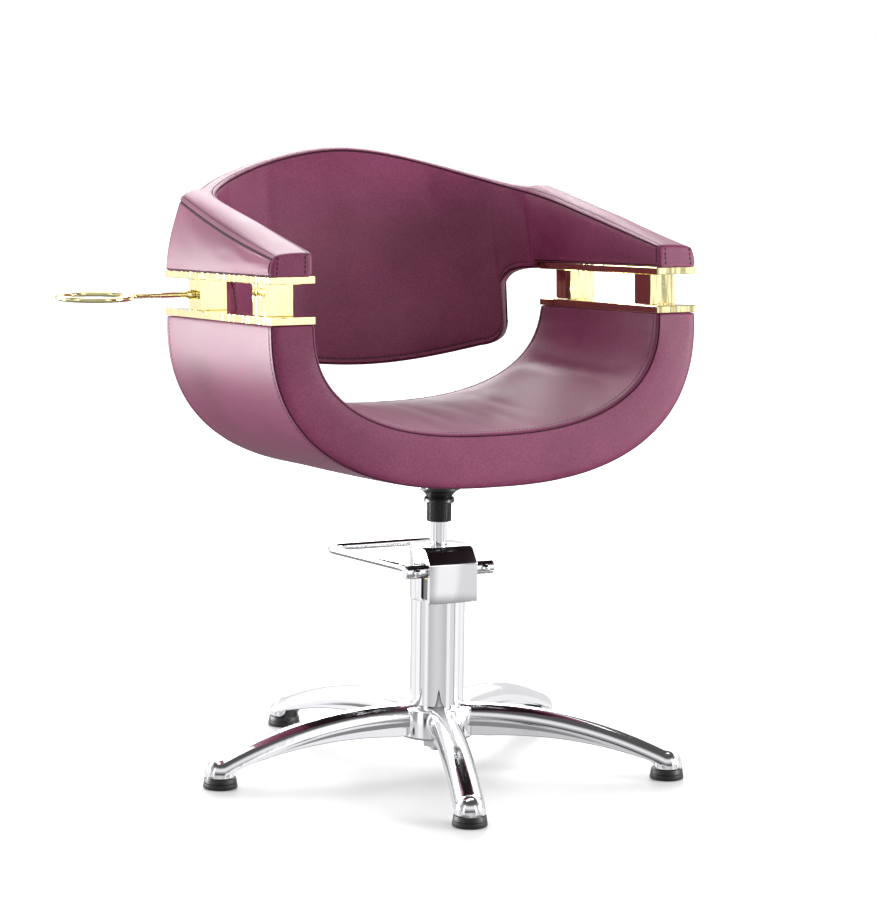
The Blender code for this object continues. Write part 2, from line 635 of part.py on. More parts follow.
def cap_solid(name, inset, top, bottom, round_radius):
    """Round behind, square in front, with the top front edge rounded over."""
    half = CAP_WIDTH / 2 - inset
    radius = COLUMN_RADIUS + SEAT_GAP + CAP_SLEEVE_WALL - inset * CAP_SLEEVE_WALL / CAP_WALL
    start = math.asin(math.sqrt(max(0.0, 1 - (half / radius) ** 2)))
    arc = np.linspace(-start, math.pi + start, 25)
    outline = [(-half, -CAP_FRONT + inset), (half, -CAP_FRONT + inset)]
    outline += [(radius * math.cos(a), radius * math.sin(a)) for a in arc]
    bm = bmesh.new()
    face = bm.faces.new([bm.verts.new((x, y, bottom)) for x, y in outline])
    raised = bmesh.ops.extrude_face_region(bm, geom=[face])
    upper = [item for item in raised["geom"] if isinstance(item, bmesh.types.BMVert)]
    bmesh.ops.translate(bm, verts=upper, vec=(0, 0, top - bottom))
    front = -CAP_FRONT + inset
    edge = [e for e in bm.edges if all(v.co.z > top - 1e-6 and v.co.y < front + 1e-6 for v in e.verts)]
    bmesh.ops.bevel(bm, geom=edge, offset=round_radius, offset_type="OFFSET", affect="EDGES",
                    segments=7, profile=0.5, material=-1)
    return mesh_object(name, bm)


def make_cap(parts, frame):
    cap = cap_solid("pump_cap", 0.0, CAP_TOP, CAP_BOTTOM, CAP_ROUND)
    inside = cap_solid("cap_inside", CAP_WALL, CAP_TOP - CAP_WALL, CAP_BOTTOM - CUT_OVERRUN,
                       CAP_ROUND - CAP_WALL)
    combine(cap, inside, "DIFFERENCE")
    rod_hole = cylinder("cap_rod_hole", ROD_RADIUS + CAP_ROD_CLEARANCE, CAP_TOP - CUT_OVERRUN,
                        CAP_TOP + CUT_OVERRUN, ROUND_SIDES)
    combine(cap, rod_hole, "DIFFERENCE")
    half = SHAFT_RADIUS + SHAFT_SLOT_CLEARANCE
    arc = [(half * math.cos(a), half * math.sin(a)) for a in np.linspace(0, math.pi, 13)]
    slot_bottom = CAP_BOTTOM - CUT_OVERRUN - SHAFT_HEIGHT
    slot = prism("shaft_slot", arc + [(-half, slot_bottom), (half, slot_bottom)], -CAP_WIDTH, CAP_WIDTH)
    upright = Matrix.Rotation(math.pi / 2, 4, "Z") @ Matrix.Rotation(math.pi / 2, 4, "X")
    turned(slot, Matrix.Translation((0, -SHAFT_FORWARD, SHAFT_HEIGHT)) @ upright)
    combine(cap, slot, "DIFFERENCE")
    place(cap, parts["chrome"], frame)


# Pedal and pump drive, about the shaft axis
def make_pedal(parts, frame):
    shaft = along_x(cylinder("pedal_shaft", SHAFT_RADIUS, -SHAFT_LENGTH / 2, SHAFT_LENGTH / 2,
                             ROUND_SIDES, SHAFT_CHAMFER))
    hole = PEDAL_ROD_DIAMETER / 2 + SEAT_GAP
    for side in (-1, 1):
        cross = along_y(cylinder("rod_hole", hole, -SHAFT_DIAMETER, SHAFT_DIAMETER),
                        (side * PEDAL_ARM_OFFSET, 0, 0))
        combine(shaft, cross, "DIFFERENCE")
    place(shaft, parts["chrome"], frame)
    nose = -SHAFT_RADIUS - PEDAL_NOSE
    right = [(PEDAL_ARM_OFFSET, nose, 0), (PEDAL_ARM_OFFSET, PEDAL_STRAIGHT, 0),
             (PEDAL_HALF_WIDTH, PEDAL_REACH, 0)]
    left = [(-x, y, z) for x, y, z in reversed(right)]
    bar = sweep("pedal_bar", rounded_path(right + left, PEDAL_BEND), PEDAL_ROD_DIAMETER / 2, 10)
    place(bar, parts["chrome"], frame)
    make_fork(parts, frame)


def make_fork(parts, frame):
    """Two arms clamped on the shaft pass the rod tower and end in the pin over the plunger."""
    outer = FORK_INNER + FORK_THICKNESS
    tail = FORK_REACH + FORK_PIN_DIAMETER / 4
    knee = FORK_KNEE * FORK_REACH
    inner_knee = FORK_INNER_KNEE * FORK_REACH
    narrow = FORK_INNER - FORK_NARROWING
    arms = []
    for side in (-1, 1):
        outline = [(FORK_INNER, 0), (outer, 0), (outer, knee), (narrow + FORK_THICKNESS, tail),
                   (narrow, tail), (FORK_INNER, inner_knee)]
        arm = prism("fork_arm", [(side * x, y) for x, y in outline], -FORK_HEIGHT / 2, FORK_HEIGHT / 2)
        boss = cylinder("fork_boss", FORK_BOSS_RADIUS, -FORK_BOSS_THICKNESS / 2, FORK_BOSS_THICKNESS / 2,
                        ROUND_SIDES)
        along_x(boss, (side * (FORK_INNER + FORK_THICKNESS / 2), 0, 0))
        arms.append(combine(arm, boss, "UNION"))
    fork, other = arms
    pin_half = narrow + FORK_THICKNESS / 2
    pin = along_x(cylinder("fork_pin", FORK_PIN_DIAMETER / 2, -pin_half, pin_half), (0, FORK_REACH, 0))
    combine(fork, pin, "UNION")
    combine(fork, other, "UNION")
    hole = along_x(cylinder("fork_hole", SHAFT_RADIUS + SEAT_GAP, -CAP_WIDTH, CAP_WIDTH, ROUND_SIDES))
    combine(fork, hole, "DIFFERENCE")
    fork.name = "rocker_fork"
    place(fork, parts["steel"], frame)


def make_plunger(parts, frame):
    radius = PLUNGER_DIAMETER / 2
    head = PLUNGER_HEAD_DIAMETER / 2
    neck = PLUNGER_TOP - PLUNGER_HEAD_HEIGHT
    bottom = PLUNGER_TOP - PLUNGER_LENGTH
    profile = [(0.0, PLUNGER_TOP), (head, PLUNGER_TOP), (head, neck), (radius, neck),
               (radius, bottom), (0.0, bottom)]
    place(revolve("plunger", profile, SMALL_SIDES), parts["steel"], frame, (0, PLUNGER_AXIS, 0))
    wire = SPRING_WIRE / 2
    low = HEAD_TOP + SEAT_GAP + wire
    high = neck - SEAT_GAP - wire
    steps = SPRING_TURNS * SPRING_STEPS
    coil = SPRING_DIAMETER / 2 - wire
    path = []
    for k in range(steps + 1):
        angle = math.tau * k / SPRING_STEPS
        path.append((coil * math.cos(angle), coil * math.sin(angle), low + (high - low) * k / steps))
    place(sweep("plunger_spring", path, wire, 6), parts["steel"], frame, (0, PLUNGER_AXIS, 0))


# Collar, flange and plate under the seat
def make_collar(parts, frame):
    outer = COLLAR_DIAMETER / 2
    inner = SOCKET_OUTER + SEAT_GAP
    count = 2 * COLLAR_RIBS
    rib = [outer - (k % 2) * COLLAR_RIB_DEPTH for k in range(count)]
    turns = [math.tau * k / count for k in range(count)]
    outside = [(rib[k] * math.cos(a), rib[k] * math.sin(a)) for k, a in enumerate(turns)]
    collar = prism("ribbed_collar", outside, COLLAR_BOTTOM, COLLAR_TOP)
    hole = cylinder("collar_hole", inner, COLLAR_BOTTOM - CUT_OVERRUN, COLLAR_TOP + CUT_OVERRUN, ROUND_SIDES)
    place(combine(collar, hole, "DIFFERENCE"), parts["black"], frame)


def make_flange(parts, frame):
    """Socket on the rod, with a bead, a waist and a dish; its top follows the lean of the seat."""
    bead = FLANGE_BEAD_DIAMETER / 2
    waist = FLANGE_WAIST_DIAMETER / 2
    dish = FLANGE_DISH_DIAMETER / 2
    bead_low = COLLAR_TOP + SEAT_GAP
    above = SEAT_PIVOT_HEIGHT + CUT_OVERRUN
    rise = FLANGE_DISH_HEIGHT - bead_low
    profile = [(0.0, above), (dish, above), (dish, FLANGE_DISH_HEIGHT),
               (waist + FLANGE_FLARE_REACH * (dish - waist), bead_low + FLANGE_FLARE_SHARE * rise),
               (waist, bead_low + FLANGE_WAIST_SHARE * rise),
               (bead, bead_low + FLANGE_BEAD_SHARE * rise), (bead, bead_low), (SOCKET_OUTER, bead_low),
               (SOCKET_OUTER, COLLAR_BOTTOM), (SOCKET_INNER, COLLAR_BOTTOM),
               (SOCKET_INNER, ROD_TOP + SEAT_GAP), (0.0, ROD_TOP + SEAT_GAP)]
    flange = revolve("seat_flange", profile)
    bm = bmesh.new()
    bm.from_mesh(flange.data)
    up = Vector((0, math.sin(SEAT_TILT), math.cos(SEAT_TILT)))
    seat = Vector((0, 0, SEAT_PIVOT_HEIGHT)) + up * (PLATE_UNDERSIDE - SEAT_GAP)
    cut = bmesh.ops.bisect_plane(bm, geom=bm.verts[:] + bm.edges[:] + bm.faces[:], dist=1e-6,
                                 plane_co=seat, plane_no=up, clear_outer=True)
    rim = [item for item in cut["geom_cut"] if isinstance(item, bmesh.types.BMEdge)]
    bmesh.ops.contextual_create(bm, geom=rim)
    bm.to_mesh(flange.data)
    bm.free()
    place(flange, parts["black"], frame)


def make_seat_plate(parts, frame):
    half = SEAT_PLATE_SIZE / 2
    plate = block("seat_plate", (-half, -half, PLATE_UNDERSIDE), (half, half, PLATE_TOP), PLATE_EDGE)
    board_half = SEAT_BOARD_SIZE / 2
    board = block("seat_board", (-board_half, -board_half, BOARD_BASE),
                  (board_half, board_half, BOARD_BASE + SEAT_BOARD_THICKNESS))
    reach = SEAT_BOLT_SPACING / 2
    spots = [(x, v) for x in (-reach, reach) for v in (-reach, reach)]
    hole = SEAT_BOLT_DIAMETER / 2 + SEAT_GAP
    bolt_top = BOARD_BASE + SEAT_BOLT_GRIP
    for x, v in spots:
        for target in (plate, board):
            drill = cylinder("drill", hole, PLATE_UNDERSIDE - CUT_OVERRUN, bolt_top + SEAT_GAP)
            combine(target, turned(drill, Matrix.Translation((x, v, 0))), "DIFFERENCE")
    place(plate, parts["black"], frame)
    place(board, parts["ply"], frame)
    head_top = PLATE_UNDERSIDE - SEAT_GAP
    head_low = head_top - SEAT_BOLT_HEAD_HEIGHT
    shank = SEAT_BOLT_DIAMETER / 2
    head = SEAT_BOLT_HEAD_DIAMETER / 2
    profile = [(0.0, bolt_top), (shank, bolt_top), (shank, head_top), (head, head_top),
               (head, head_low), (0.0, head_low)]
    for number, (x, v) in enumerate(spots, 1):
        bolt = revolve(f"seat_bolt_{number}", profile, SMALL_SIDES)
        place(bolt, parts["steel"], frame, (x, v, 0))


# Padded bucket seat
def u_curve(half, bottom, shoulder, top, count=25):
    """From one wall top down under the seat and up to the other, squarer than an ellipse."""
    power = 2 / SEAT_SQUARENESS
    depth = shoulder - bottom
    points = [(-half, top)]
    for t in np.linspace(0, math.pi, count):
        x = -half * math.copysign(abs(math.cos(t)) ** power, math.cos(t))
        points.append((x, shoulder - depth * math.sin(t) ** power))
    points.append((half, top))
    return points


def seat_ring(v, inset, bevel):
    share = (v - SEAT_FRONT) / (SEAT_REAR - SEAT_FRONT)
    shoulder = SEAT_WALL_TOP - SEAT_EDGE / 2
    floor = SEAT_FRONT_TOP + SEAT_REAR_RISE * share + SEAT_CROWN * math.sin(math.pi * share)
    outside = u_curve(SEAT_HALF_WIDTH - inset, SEAT_BOTTOM + inset, shoulder, SEAT_WALL_TOP)
    inside = u_curve(SEAT_INNER_HALF_WIDTH + inset, floor - inset, shoulder, SEAT_WALL_TOP)
    ring = [Vector((x, v, w)) for x, w in outside]
    for x, w in reversed(inside):
        lift = max(0.0, (w - floor) / (SEAT_WALL_TOP - floor))
        ring.append(Vector((x, v - bevel * lift, w)))
    return ring


def make_seat_pad(parts, frame):
    edge = SEAT_EDGE
    soft = EDGE_STEP * edge
    rings = [seat_ring(SEAT_FRONT, edge, 0.0), seat_ring(SEAT_FRONT + soft, soft, 0.0)]
    middle = np.linspace(SEAT_FRONT + edge, SEAT_REAR - edge, 7)
    for step, v in enumerate(middle):
        rings.append(seat_ring(v, 0.0, SEAT_REAR_BEVEL * step / (len(middle) - 1)))
    rings.append(seat_ring(SEAT_REAR - soft, soft, SEAT_REAR_BEVEL))
    rings.append(seat_ring(SEAT_REAR, edge, SEAT_REAR_BEVEL))
    pad = loft("seat_pad", rings, strip_caps=True)
    half = SEAT_BOARD_SIZE / 2 + SEAT_GAP
    board = block("board_pocket", (-half, -half, SEAT_BOTTOM - CUT_OVERRUN),
                  (half, half, BOARD_BASE + SEAT_BOARD_THICKNESS + SEAT_GAP))
    combine(pad, board, "DIFFERENCE")
    low = SEAT_WALL_TOP - SEAT_RAIL_HEIGHT - 2 * SEAT_GAP
    for side in (-1, 1):
        pocket = rail_block("rail_pocket", side, low, SEAT_WALL_TOP + CUT_OVERRUN, SEAT_GAP)
        combine(pad, pocket, "DIFFERENCE")
    place(pad, parts["leather"], frame)


# Gold plates, posts, rails and tie bolts on each side
def plate_outline(side, grow=0.0):
    inner = SEAT_INNER_HALF_WIDTH - grow
    outer = SEAT_HALF_WIDTH + grow
    points = [(inner, SEAT_FRONT - grow), (outer, SEAT_FRONT - grow), (outer, SEAT_REAR + grow),
              (inner, SEAT_REAR - SEAT_REAR_BEVEL + grow)]
    return [(side * x, v) for x, v in points]


def rail_block(name, side, low, high, grow=0.0):
    half = RAIL_WIDTH / 2 + grow
    centre = side * POST_CENTRE
    return block(name, (centre - half, RAIL_FRONT - grow, low), (centre + half, RAIL_REAR + grow, high))


def tie_drill(side, v, low, high):
    drill = cylinder("tie_drill", TIE_DIAMETER / 2 + SEAT_GAP, low, high)
    return turned(drill, Matrix.Translation((side * POST_CENTRE, v, 0)))


def make_side(parts, frame, side, label):
    tie_low = SEAT_WALL_TOP - TIE_GRIP
    tie_high = BACK_BASE + TIE_GRIP
    lower = prism(f"lower_plate_{label}", plate_outline(side), LOWER_PLATE_BASE,
                  LOWER_PLATE_BASE + PLATE_THICKNESS, PLATE_EDGE)
    upper = prism(f"upper_plate_{label}", plate_outline(side), UPPER_PLATE_BASE,
                  UPPER_PLATE_BASE + PLATE_THICKNESS, PLATE_EDGE)
    seat_rail = rail_block(f"seat_rail_{label}", side, SEAT_WALL_TOP - SEAT_RAIL_HEIGHT, SEAT_WALL_TOP)
    back_rail = rail_block(f"back_rail_{label}", side, BACK_BASE, BACK_BASE + BACK_RAIL_HEIGHT)
    for v, end in ((POST_FRONT, "front"), (POST_REAR, "rear")):
        half_x = POST_WIDTH / 2
        half_v = POST_DEPTH / 2
        centre = side * POST_CENTRE
        post = block(f"post_{end}_{label}", (centre - half_x, v - half_v, POST_BASE),
                     (centre + half_x, v + half_v, POST_BASE + POST_HEIGHT), PLATE_EDGE)
        for target in (lower, upper, post):
            combine(target, tie_drill(side, v, tie_low, tie_high), "DIFFERENCE")
        combine(seat_rail, tie_drill(side, v, tie_low - SEAT_GAP, tie_high), "DIFFERENCE")
        combine(back_rail, tie_drill(side, v, tie_low, tie_high + SEAT_GAP), "DIFFERENCE")
        if end == "rear" and side < 0:
            socket = cylinder("holder_socket", HOLDER_WIRE / 2 + SEAT_GAP, -CUT_OVERRUN,
                              HOLDER_DEPTH + SEAT_GAP)
            along_x(socket, (-POST_OUTER, v, POST_BASE + POST_HEIGHT / 2))
            combine(post, socket, "DIFFERENCE")
        place(post, parts["gold"], frame, smooth_deg=20)
        tie = cylinder(f"tie_bolt_{end}_{label}", TIE_DIAMETER / 2, tie_low, tie_high)
        place(tie, parts["steel"], frame, (centre, v, 0))
    place(lower, parts["gold"], frame, smooth_deg=20)
    place(upper, parts["gold"], frame, smooth_deg=20)
    place(seat_rail, parts["ply"], frame)
    place(back_rail, parts["ply"], frame)


# Padded back: one skin that runs from arm to arm and hangs down as a shield behind the sitter
def back_plan(x):
    share = min(1.0, x / BACK_INNER_HALF_WIDTH)
    return BACK_TURN + BACK_DEPTH * (1 - share ** BACK_SQUARENESS) ** (1 / BACK_SQUARENESS)


def shield_outline():
    """Lower edge from the middle outwards: bottom, corner, side, fillet under the arm."""
    corner_x = SHIELD_HALF_WIDTH - SHIELD_CORNER
    corner_w = SHIELD_SHOULDER + SHIELD_CORNER
    points = []
    for x in np.linspace(0.0, corner_x, 8)[:-1]:
        points.append((x, SHIELD_BOTTOM + (SHIELD_SHOULDER - SHIELD_BOTTOM) * (x / corner_x) ** 2))
    for a in np.linspace(-math.pi / 2, -SHIELD_SIDE_TURN, 6):
        points.append((corner_x + SHIELD_CORNER * math.cos(a), corner_w + SHIELD_CORNER * math.sin(a)))
    fillet_x = SHIELD_HALF_WIDTH + SHIELD_SIDE_SLOPE + SHIELD_FILLET
    fillet_w = BACK_LIP - SHIELD_FILLET
    for a in np.linspace(math.pi - SHIELD_SIDE_TURN, math.pi / 2, 6):
        points.append((fillet_x + SHIELD_FILLET * math.cos(a), fillet_w + SHIELD_FILLET * math.sin(a)))
    return points


def back_stations():
    """Inner top edge of one half, from the middle of the back to the front of the arm: x, v, lower edge."""
    stations = [(x, back_plan(x), w) for x, w in shield_outline()]
    last = stations[-1][0] / BACK_INNER_HALF_WIDTH
    power = 2 / BACK_SQUARENESS
    first_angle = math.acos(min(1.0, last ** (1 / power)))
    for angle in np.linspace(first_angle, 0.0, 9)[1:]:
        x = BACK_INNER_HALF_WIDTH * math.cos(angle) ** power
        stations.append((x, BACK_TURN + BACK_DEPTH * math.sin(angle) ** power, BACK_LIP))
    front = SEAT_FRONT
    for v in np.linspace(BACK_TURN, front + BACK_EDGE, 7)[1:]:
        stations.append((BACK_INNER_HALF_WIDTH, v, BACK_BASE))
    stations.append((BACK_INNER_HALF_WIDTH, front + EDGE_STEP * BACK_EDGE, BACK_BASE))
    stations.append((BACK_INNER_HALF_WIDTH, front, BACK_BASE))
    return stations


def smooth(value):
    t = min(1.0, max(0.0, value))
    return t * t * (3 - 2 * t)


def top_height(run, length):
    """Straight rise along the arm, then a soft crest at the middle of the back."""
    if run <= ARM_SLOPE_LENGTH:
        return ARM_FRONT_TOP + ARM_SLOPE * run
    start = ARM_FRONT_TOP + ARM_SLOPE * ARM_SLOPE_LENGTH
    span = length - ARM_SLOPE_LENGTH
    t = (run - ARM_SLOPE_LENGTH) / span
    ease = t ** 3 - 2 * t ** 2 + t
    return start + (BACK_TOP - start) * smooth(t) + ease * span * ARM_SLOPE


def back_section(x, v, low, top, outward, inset):
    """Closed section at one station: inner face, top, outer face, bottom, with soft edges."""
    lean = math.tan(math.radians(BACK_LEAN_DEG)) * smooth((v - SEAT_FRONT) / (BACK_TURN - SEAT_FRONT))
    inner_top = Vector((x, v, top))
    inner_low = Vector((x, v - lean * (top - low), low))
    if v <= ARM_END:
        sweep_back = ARM_END_SWEEP * smooth((v - SEAT_FRONT) / (ARM_END - SEAT_FRONT))
        slant = math.tan(math.radians(ARM_LEAN_DEG)) * (top - low)
        outer_low = Vector((SEAT_HALF_WIDTH, v + sweep_back, low))
        outer_top = Vector((SEAT_HALF_WIDTH - slant, v, top))
    else:
        outer_low = inner_low + outward * BACK_THICKNESS
        outer_top = inner_top + outward * BACK_THICKNESS
    height = (inner_top - inner_low).length
    width = (outer_top - inner_top).length
    soft = BACK_EDGE + inset
    up = min(EDGE_STEP, soft / height)
    across = min(EDGE_STEP, soft / width)
    shrink_w = inset / width
    shrink_h = inset / height
    crown = BACK_CROWN * min(1.0, height / (BACK_TOP - SHIELD_BOTTOM)) / width

    def point(s, t):
        lower = inner_low.lerp(outer_low, s)
        upper = inner_top.lerp(outer_top, s)
        return lower.lerp(upper, t)

    arm = smooth((width - BACK_THICKNESS) / BACK_THICKNESS) * (1 - inset / BACK_EDGE)
    bulge = arm * ARM_SIDE_CROWN / width
    dome = arm * ARM_TOP_CROWN / height
    inner = [(shrink_w - crown * math.sin(math.pi * t), t) for t in (up, *BACK_SECTION_STEPS, 1 - up)]
    roof = [(s, 1 - shrink_h + dome * math.sin(math.pi * s))
            for s in (across, *BACK_ROOF_STEPS, 1 - across)]
    outer = [(1 - shrink_w + bulge * math.sin(math.pi * t), t)
             for t in (1 - up, *reversed(BACK_SECTION_STEPS), up)]
    base = [(s, 0.0) for s in (1 - across, 0.5, across)]
    return [point(s, t) for s, t in inner + roof + outer + base]


def make_back_pad(parts, frame):
    stations = back_stations()
    path = [Vector((x, v)) for x, v, low in stations]
    steps = [(b - a).length for a, b in zip(path, path[1:])]
    length = sum(steps)
    run = length
    half = []
    for i, (x, v, low) in enumerate(stations):
        ahead = path[min(i + 1, len(path) - 1)] - path[max(i - 1, 0)]
        if i == 0:
            ahead = Vector((1.0, 0.0))
        outward = Vector((-ahead.y, ahead.x, 0.0)).normalized()
        inset = max(0.0, BACK_EDGE - (v - SEAT_FRONT)) if v < BACK_TURN else 0.0
        half.append(back_section(x, v, low, top_height(run, length), outward, inset))
        run -= steps[i] if i < len(steps) else 0.0
    mirrored = [[Vector((-p.x, p.y, p.z)) for p in ring] for ring in half[1:]]
    pad = loft("back_pad", list(reversed(mirrored)) + half)
    for side in (-1, 1):
        notch = prism("plate_notch", plate_outline(side, SEAT_GAP), POST_BASE, BACK_BASE)
        combine(pad, notch, "DIFFERENCE")
        pocket = rail_block("rail_pocket", side, BACK_BASE - CUT_OVERRUN,
                            BACK_BASE + BACK_RAIL_HEIGHT + SEAT_GAP, SEAT_GAP)
        combine(pad, pocket, "DIFFERENCE")
    place(pad, parts["leather"], frame)


# Dryer holder on the rear left post, level with the floor
def make_dryer_holder(parts, frame):
    boss = tube("dryer_boss", HOLDER_WIRE / 2 + SEAT_GAP, BOSS_DIAMETER / 2, 0.0, BOSS_LENGTH)
    place(along_x(boss, (-BOSS_LENGTH - SEAT_GAP, 0, 0)), parts["gold"], frame)
    radius = HOLDER_RING / 2
    near = -HOLDER_STEM
    centre = near - radius
    opening = math.radians(HOLDER_OPENING_DEG)
    start = math.radians(HOLDER_START_DEG)
    turn = np.linspace(-start, -math.tau + opening, 28)
    loop = [(centre + radius * math.cos(a), radius * math.sin(a), 0.0) for a in turn]
    bend = rounded_path([(HOLDER_DEPTH, 0, 0), (near, 0, 0), loop[1]], HOLDER_BEND)
    ring = sweep("dryer_ring", bend[:-1] + loop[1:], HOLDER_WIRE / 2)
    place(ring, parts["gold"], frame)


def main():
    clear_scene()
    parts = make_materials()
    root = make_frame("chair_root", None, (AXIS_X, AXIS_Y, 0))
    base = make_frame("base_frame", root)
    make_base(parts, base)
    make_feet(parts, base)
    make_column(parts, base)
    make_pump_head(parts, base)
    make_cap(parts, base)
    lift = make_frame("lift_frame", root)
    make_piston(parts, lift)
    make_pedal(parts, make_frame("pedal_frame", root, (0, -SHAFT_FORWARD, SHAFT_HEIGHT)))
    make_plunger(parts, make_frame("plunger_frame", root))
    swivel = make_frame("swivel_frame", lift)
    make_collar(parts, swivel)
    make_flange(parts, swivel)
    seat = make_frame("seat_frame", swivel, (0, 0, SEAT_PIVOT_HEIGHT), (-SEAT_TILT, 0, 0))
    make_seat_plate(parts, seat)
    make_seat_pad(parts, seat)
    for side, label in ((-1, "left"), (1, "right")):
        make_side(parts, seat, side, label)
    make_back_pad(parts, seat)
    post_face = (-POST_OUTER, POST_REAR, POST_BASE + POST_HEIGHT / 2)
    make_dryer_holder(parts, make_frame("holder_frame", seat, post_face, (SEAT_TILT, 0, 0)))


main()
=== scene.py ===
import math

import bmesh
import bpy
from mathutils import Matrix, Vector
from mathutils.bvhtree import BVHTree


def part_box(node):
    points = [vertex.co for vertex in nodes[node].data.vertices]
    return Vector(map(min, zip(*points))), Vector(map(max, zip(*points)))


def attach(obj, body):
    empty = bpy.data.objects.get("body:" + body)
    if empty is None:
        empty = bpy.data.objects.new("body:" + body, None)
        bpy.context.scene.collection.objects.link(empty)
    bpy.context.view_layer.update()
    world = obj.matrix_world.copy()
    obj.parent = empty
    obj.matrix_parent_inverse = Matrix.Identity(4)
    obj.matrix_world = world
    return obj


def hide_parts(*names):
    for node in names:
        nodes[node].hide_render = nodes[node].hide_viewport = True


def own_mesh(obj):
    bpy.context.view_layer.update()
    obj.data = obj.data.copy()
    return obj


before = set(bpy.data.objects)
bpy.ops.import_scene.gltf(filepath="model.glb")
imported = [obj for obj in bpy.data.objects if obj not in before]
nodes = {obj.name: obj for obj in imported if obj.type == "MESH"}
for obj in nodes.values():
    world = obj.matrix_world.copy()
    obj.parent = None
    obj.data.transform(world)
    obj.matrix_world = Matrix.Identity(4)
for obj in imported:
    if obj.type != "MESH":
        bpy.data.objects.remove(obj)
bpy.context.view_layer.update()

scene = bpy.context.scene
print("frame loaded with", len(nodes), "nodes")

# the swivel axis, the seat unit's lean and the pedal shaft, as the CAD model has them
chair = {"axisX": 0.10025, "axisY": -0.02074, "pivot": 0.43, "lean": math.radians(3.0),
         "shaftForward": 0.034, "shaftHeight": 0.301, "gap": 0.0003}
basePlace = Matrix.Translation((chair["axisX"], chair["axisY"], 0))
seatPlace = basePlace @ Matrix.Translation((0, 0, chair["pivot"])) @ Matrix.Rotation(-chair["lean"], 4, "X")
shaftSpot = Matrix.Translation((0, -chair["shaftForward"], chair["shaftHeight"]))
shaftPlace = basePlace @ shaftSpot


# small helpers
def mix(a, b, t):
    return a + (b - a) * t


def clamp(t):
    return min(1.0, max(0.0, t))


def ease(t):
    t = clamp(t)
    return t * t * (3 - 2 * t)


def spread(low, high, count):
    return [mix(low, high, k / (count - 1)) for k in range(count)]


def arc(radius, start, end, count, centre=(0, 0)):
    turns = spread(start, end, count)
    return [(centre[0] + radius * math.cos(a), centre[1] + radius * math.sin(a)) for a in turns]


def pathLength(path):
    return sum((b - a).length for a, b in zip(path, path[1:]))


def placesAlong(path, shares):
    # the segment, and the share of it, at each share of the whole length
    runs = [0.0]
    for a, b in zip(path, path[1:]):
        runs.append(runs[-1] + (b - a).length)
    places, k = [], 0
    for share in shares:
        goal = runs[-1] * share
        while k < len(runs) - 2 and runs[k + 1] < goal:
            k += 1
        places.append((k, (goal - runs[k]) / max(1e-9, runs[k + 1] - runs[k])))
    return places


def turned(points, steps, closed=False):
    bm = bmesh.new()
    verts = [bm.verts.new((radius, 0, height)) for radius, height in points]
    edges = [bm.edges.new(pair) for pair in zip(verts, verts[1:])]
    if closed:
        edges.append(bm.edges.new((verts[-1], verts[0])))
    bmesh.ops.spin(bm, geom=verts + edges, axis=(0, 0, 1), cent=(0, 0, 0), angle=math.tau,
                   steps=steps, use_merge=True)
    bmesh.ops.remove_doubles(bm, verts=bm.verts, dist=1e-6)
    bmesh.ops.recalc_face_normals(bm, faces=bm.faces)
    return bm


def swept(rings, fillEnd=None):
    # first ring by hand, the others are extruded from it and pulled to their station; plain ends are flat
    bm = bmesh.new()
    row = [bm.verts.new(point) for point in rings[0]]
    loop = [bm.edges.new(pair) for pair in zip(row, row[1:] + row[:1])]
    if not fillEnd:
        bm.faces.new(row)
    rows = [row]
    for ring in rings[1:]:
        made = bmesh.ops.extrude_edge_only(bm, edges=loop)["geom"]
        fresh = {item for item in made if isinstance(item, bmesh.types.BMVert)}
        row = [next(e.other_vert(v) for e in v.link_edges if e.other_vert(v) in fresh) for v in row]
        for vert, point in zip(row, ring):
            vert.co = point
        loop = [bm.edges.get(pair) for pair in zip(row, row[1:] + row[:1])]
        rows.append(row)
    if not fillEnd:
        bm.faces.new(row)
    bmesh.ops.recalc_face_normals(bm, faces=bm.faces)
    if fillEnd:
        fillEnd(bm, rows[0])
        fillEnd(bm, rows[-1])
        bmesh.ops.recalc_face_normals(bm, faces=bm.faces)
    return bm


def wire(path, radius, sides, endSteps=4):
    # round section carried along a path without twist, with domed ends
    path = [Vector(point) for point in path]
    turns = [math.tau * k / sides for k in range(sides)]
    dome = [math.pi / 2 * k / endSteps for k in range(1, endSteps)]
    side, rings = None, []
    for i, point in enumerate(path):
        ahead = (path[min(i + 1, len(path) - 1)] - path[max(i - 1, 0)]).normalized()
        side = side or ahead.orthogonal()
        side = (side - ahead * side.dot(ahead)).normalized()
        circle = [side * math.cos(a) + ahead.cross(side) * math.sin(a) for a in turns]

        def ringAt(a, way):
            return [point + radius * (c * math.cos(a) + way * math.sin(a)) for c in circle]

        if i == 0:
            rings += [ringAt(a, -ahead) for a in reversed(dome)]
        rings.append(ringAt(0.0, ahead))
        if i == len(path) - 1:
            rings += [ringAt(a, ahead) for a in dome]
    return swept(rings)


def bentPath(corners, radius, steps=10):
    corners = [Vector(corner) for corner in corners]
    path = [corners[0]]
    for before, corner, after in zip(corners, corners[1:], corners[2:]):
        back = (before - corner).normalized()
        ahead = (after - corner).normalized()
        reach = radius / math.tan(back.angle(ahead) / 2)
        start = corner + back * reach
        end = corner + ahead * reach
        for t in spread(0, 1, steps + 1):
            path.append(start * (1 - t) ** 2 + corner * 2 * t * (1 - t) + end * t ** 2)
    return path + [corners[-1]]


def meshPiece(name, bm, place=Matrix()):
    bmesh.ops.transform(bm, matrix=place, verts=bm.verts)
    mesh = bpy.data.meshes.new(name)
    bm.to_mesh(mesh)
    bm.free()
    piece = bpy.data.objects.new(name, mesh)
    scene.collection.objects.link(piece)
    return piece


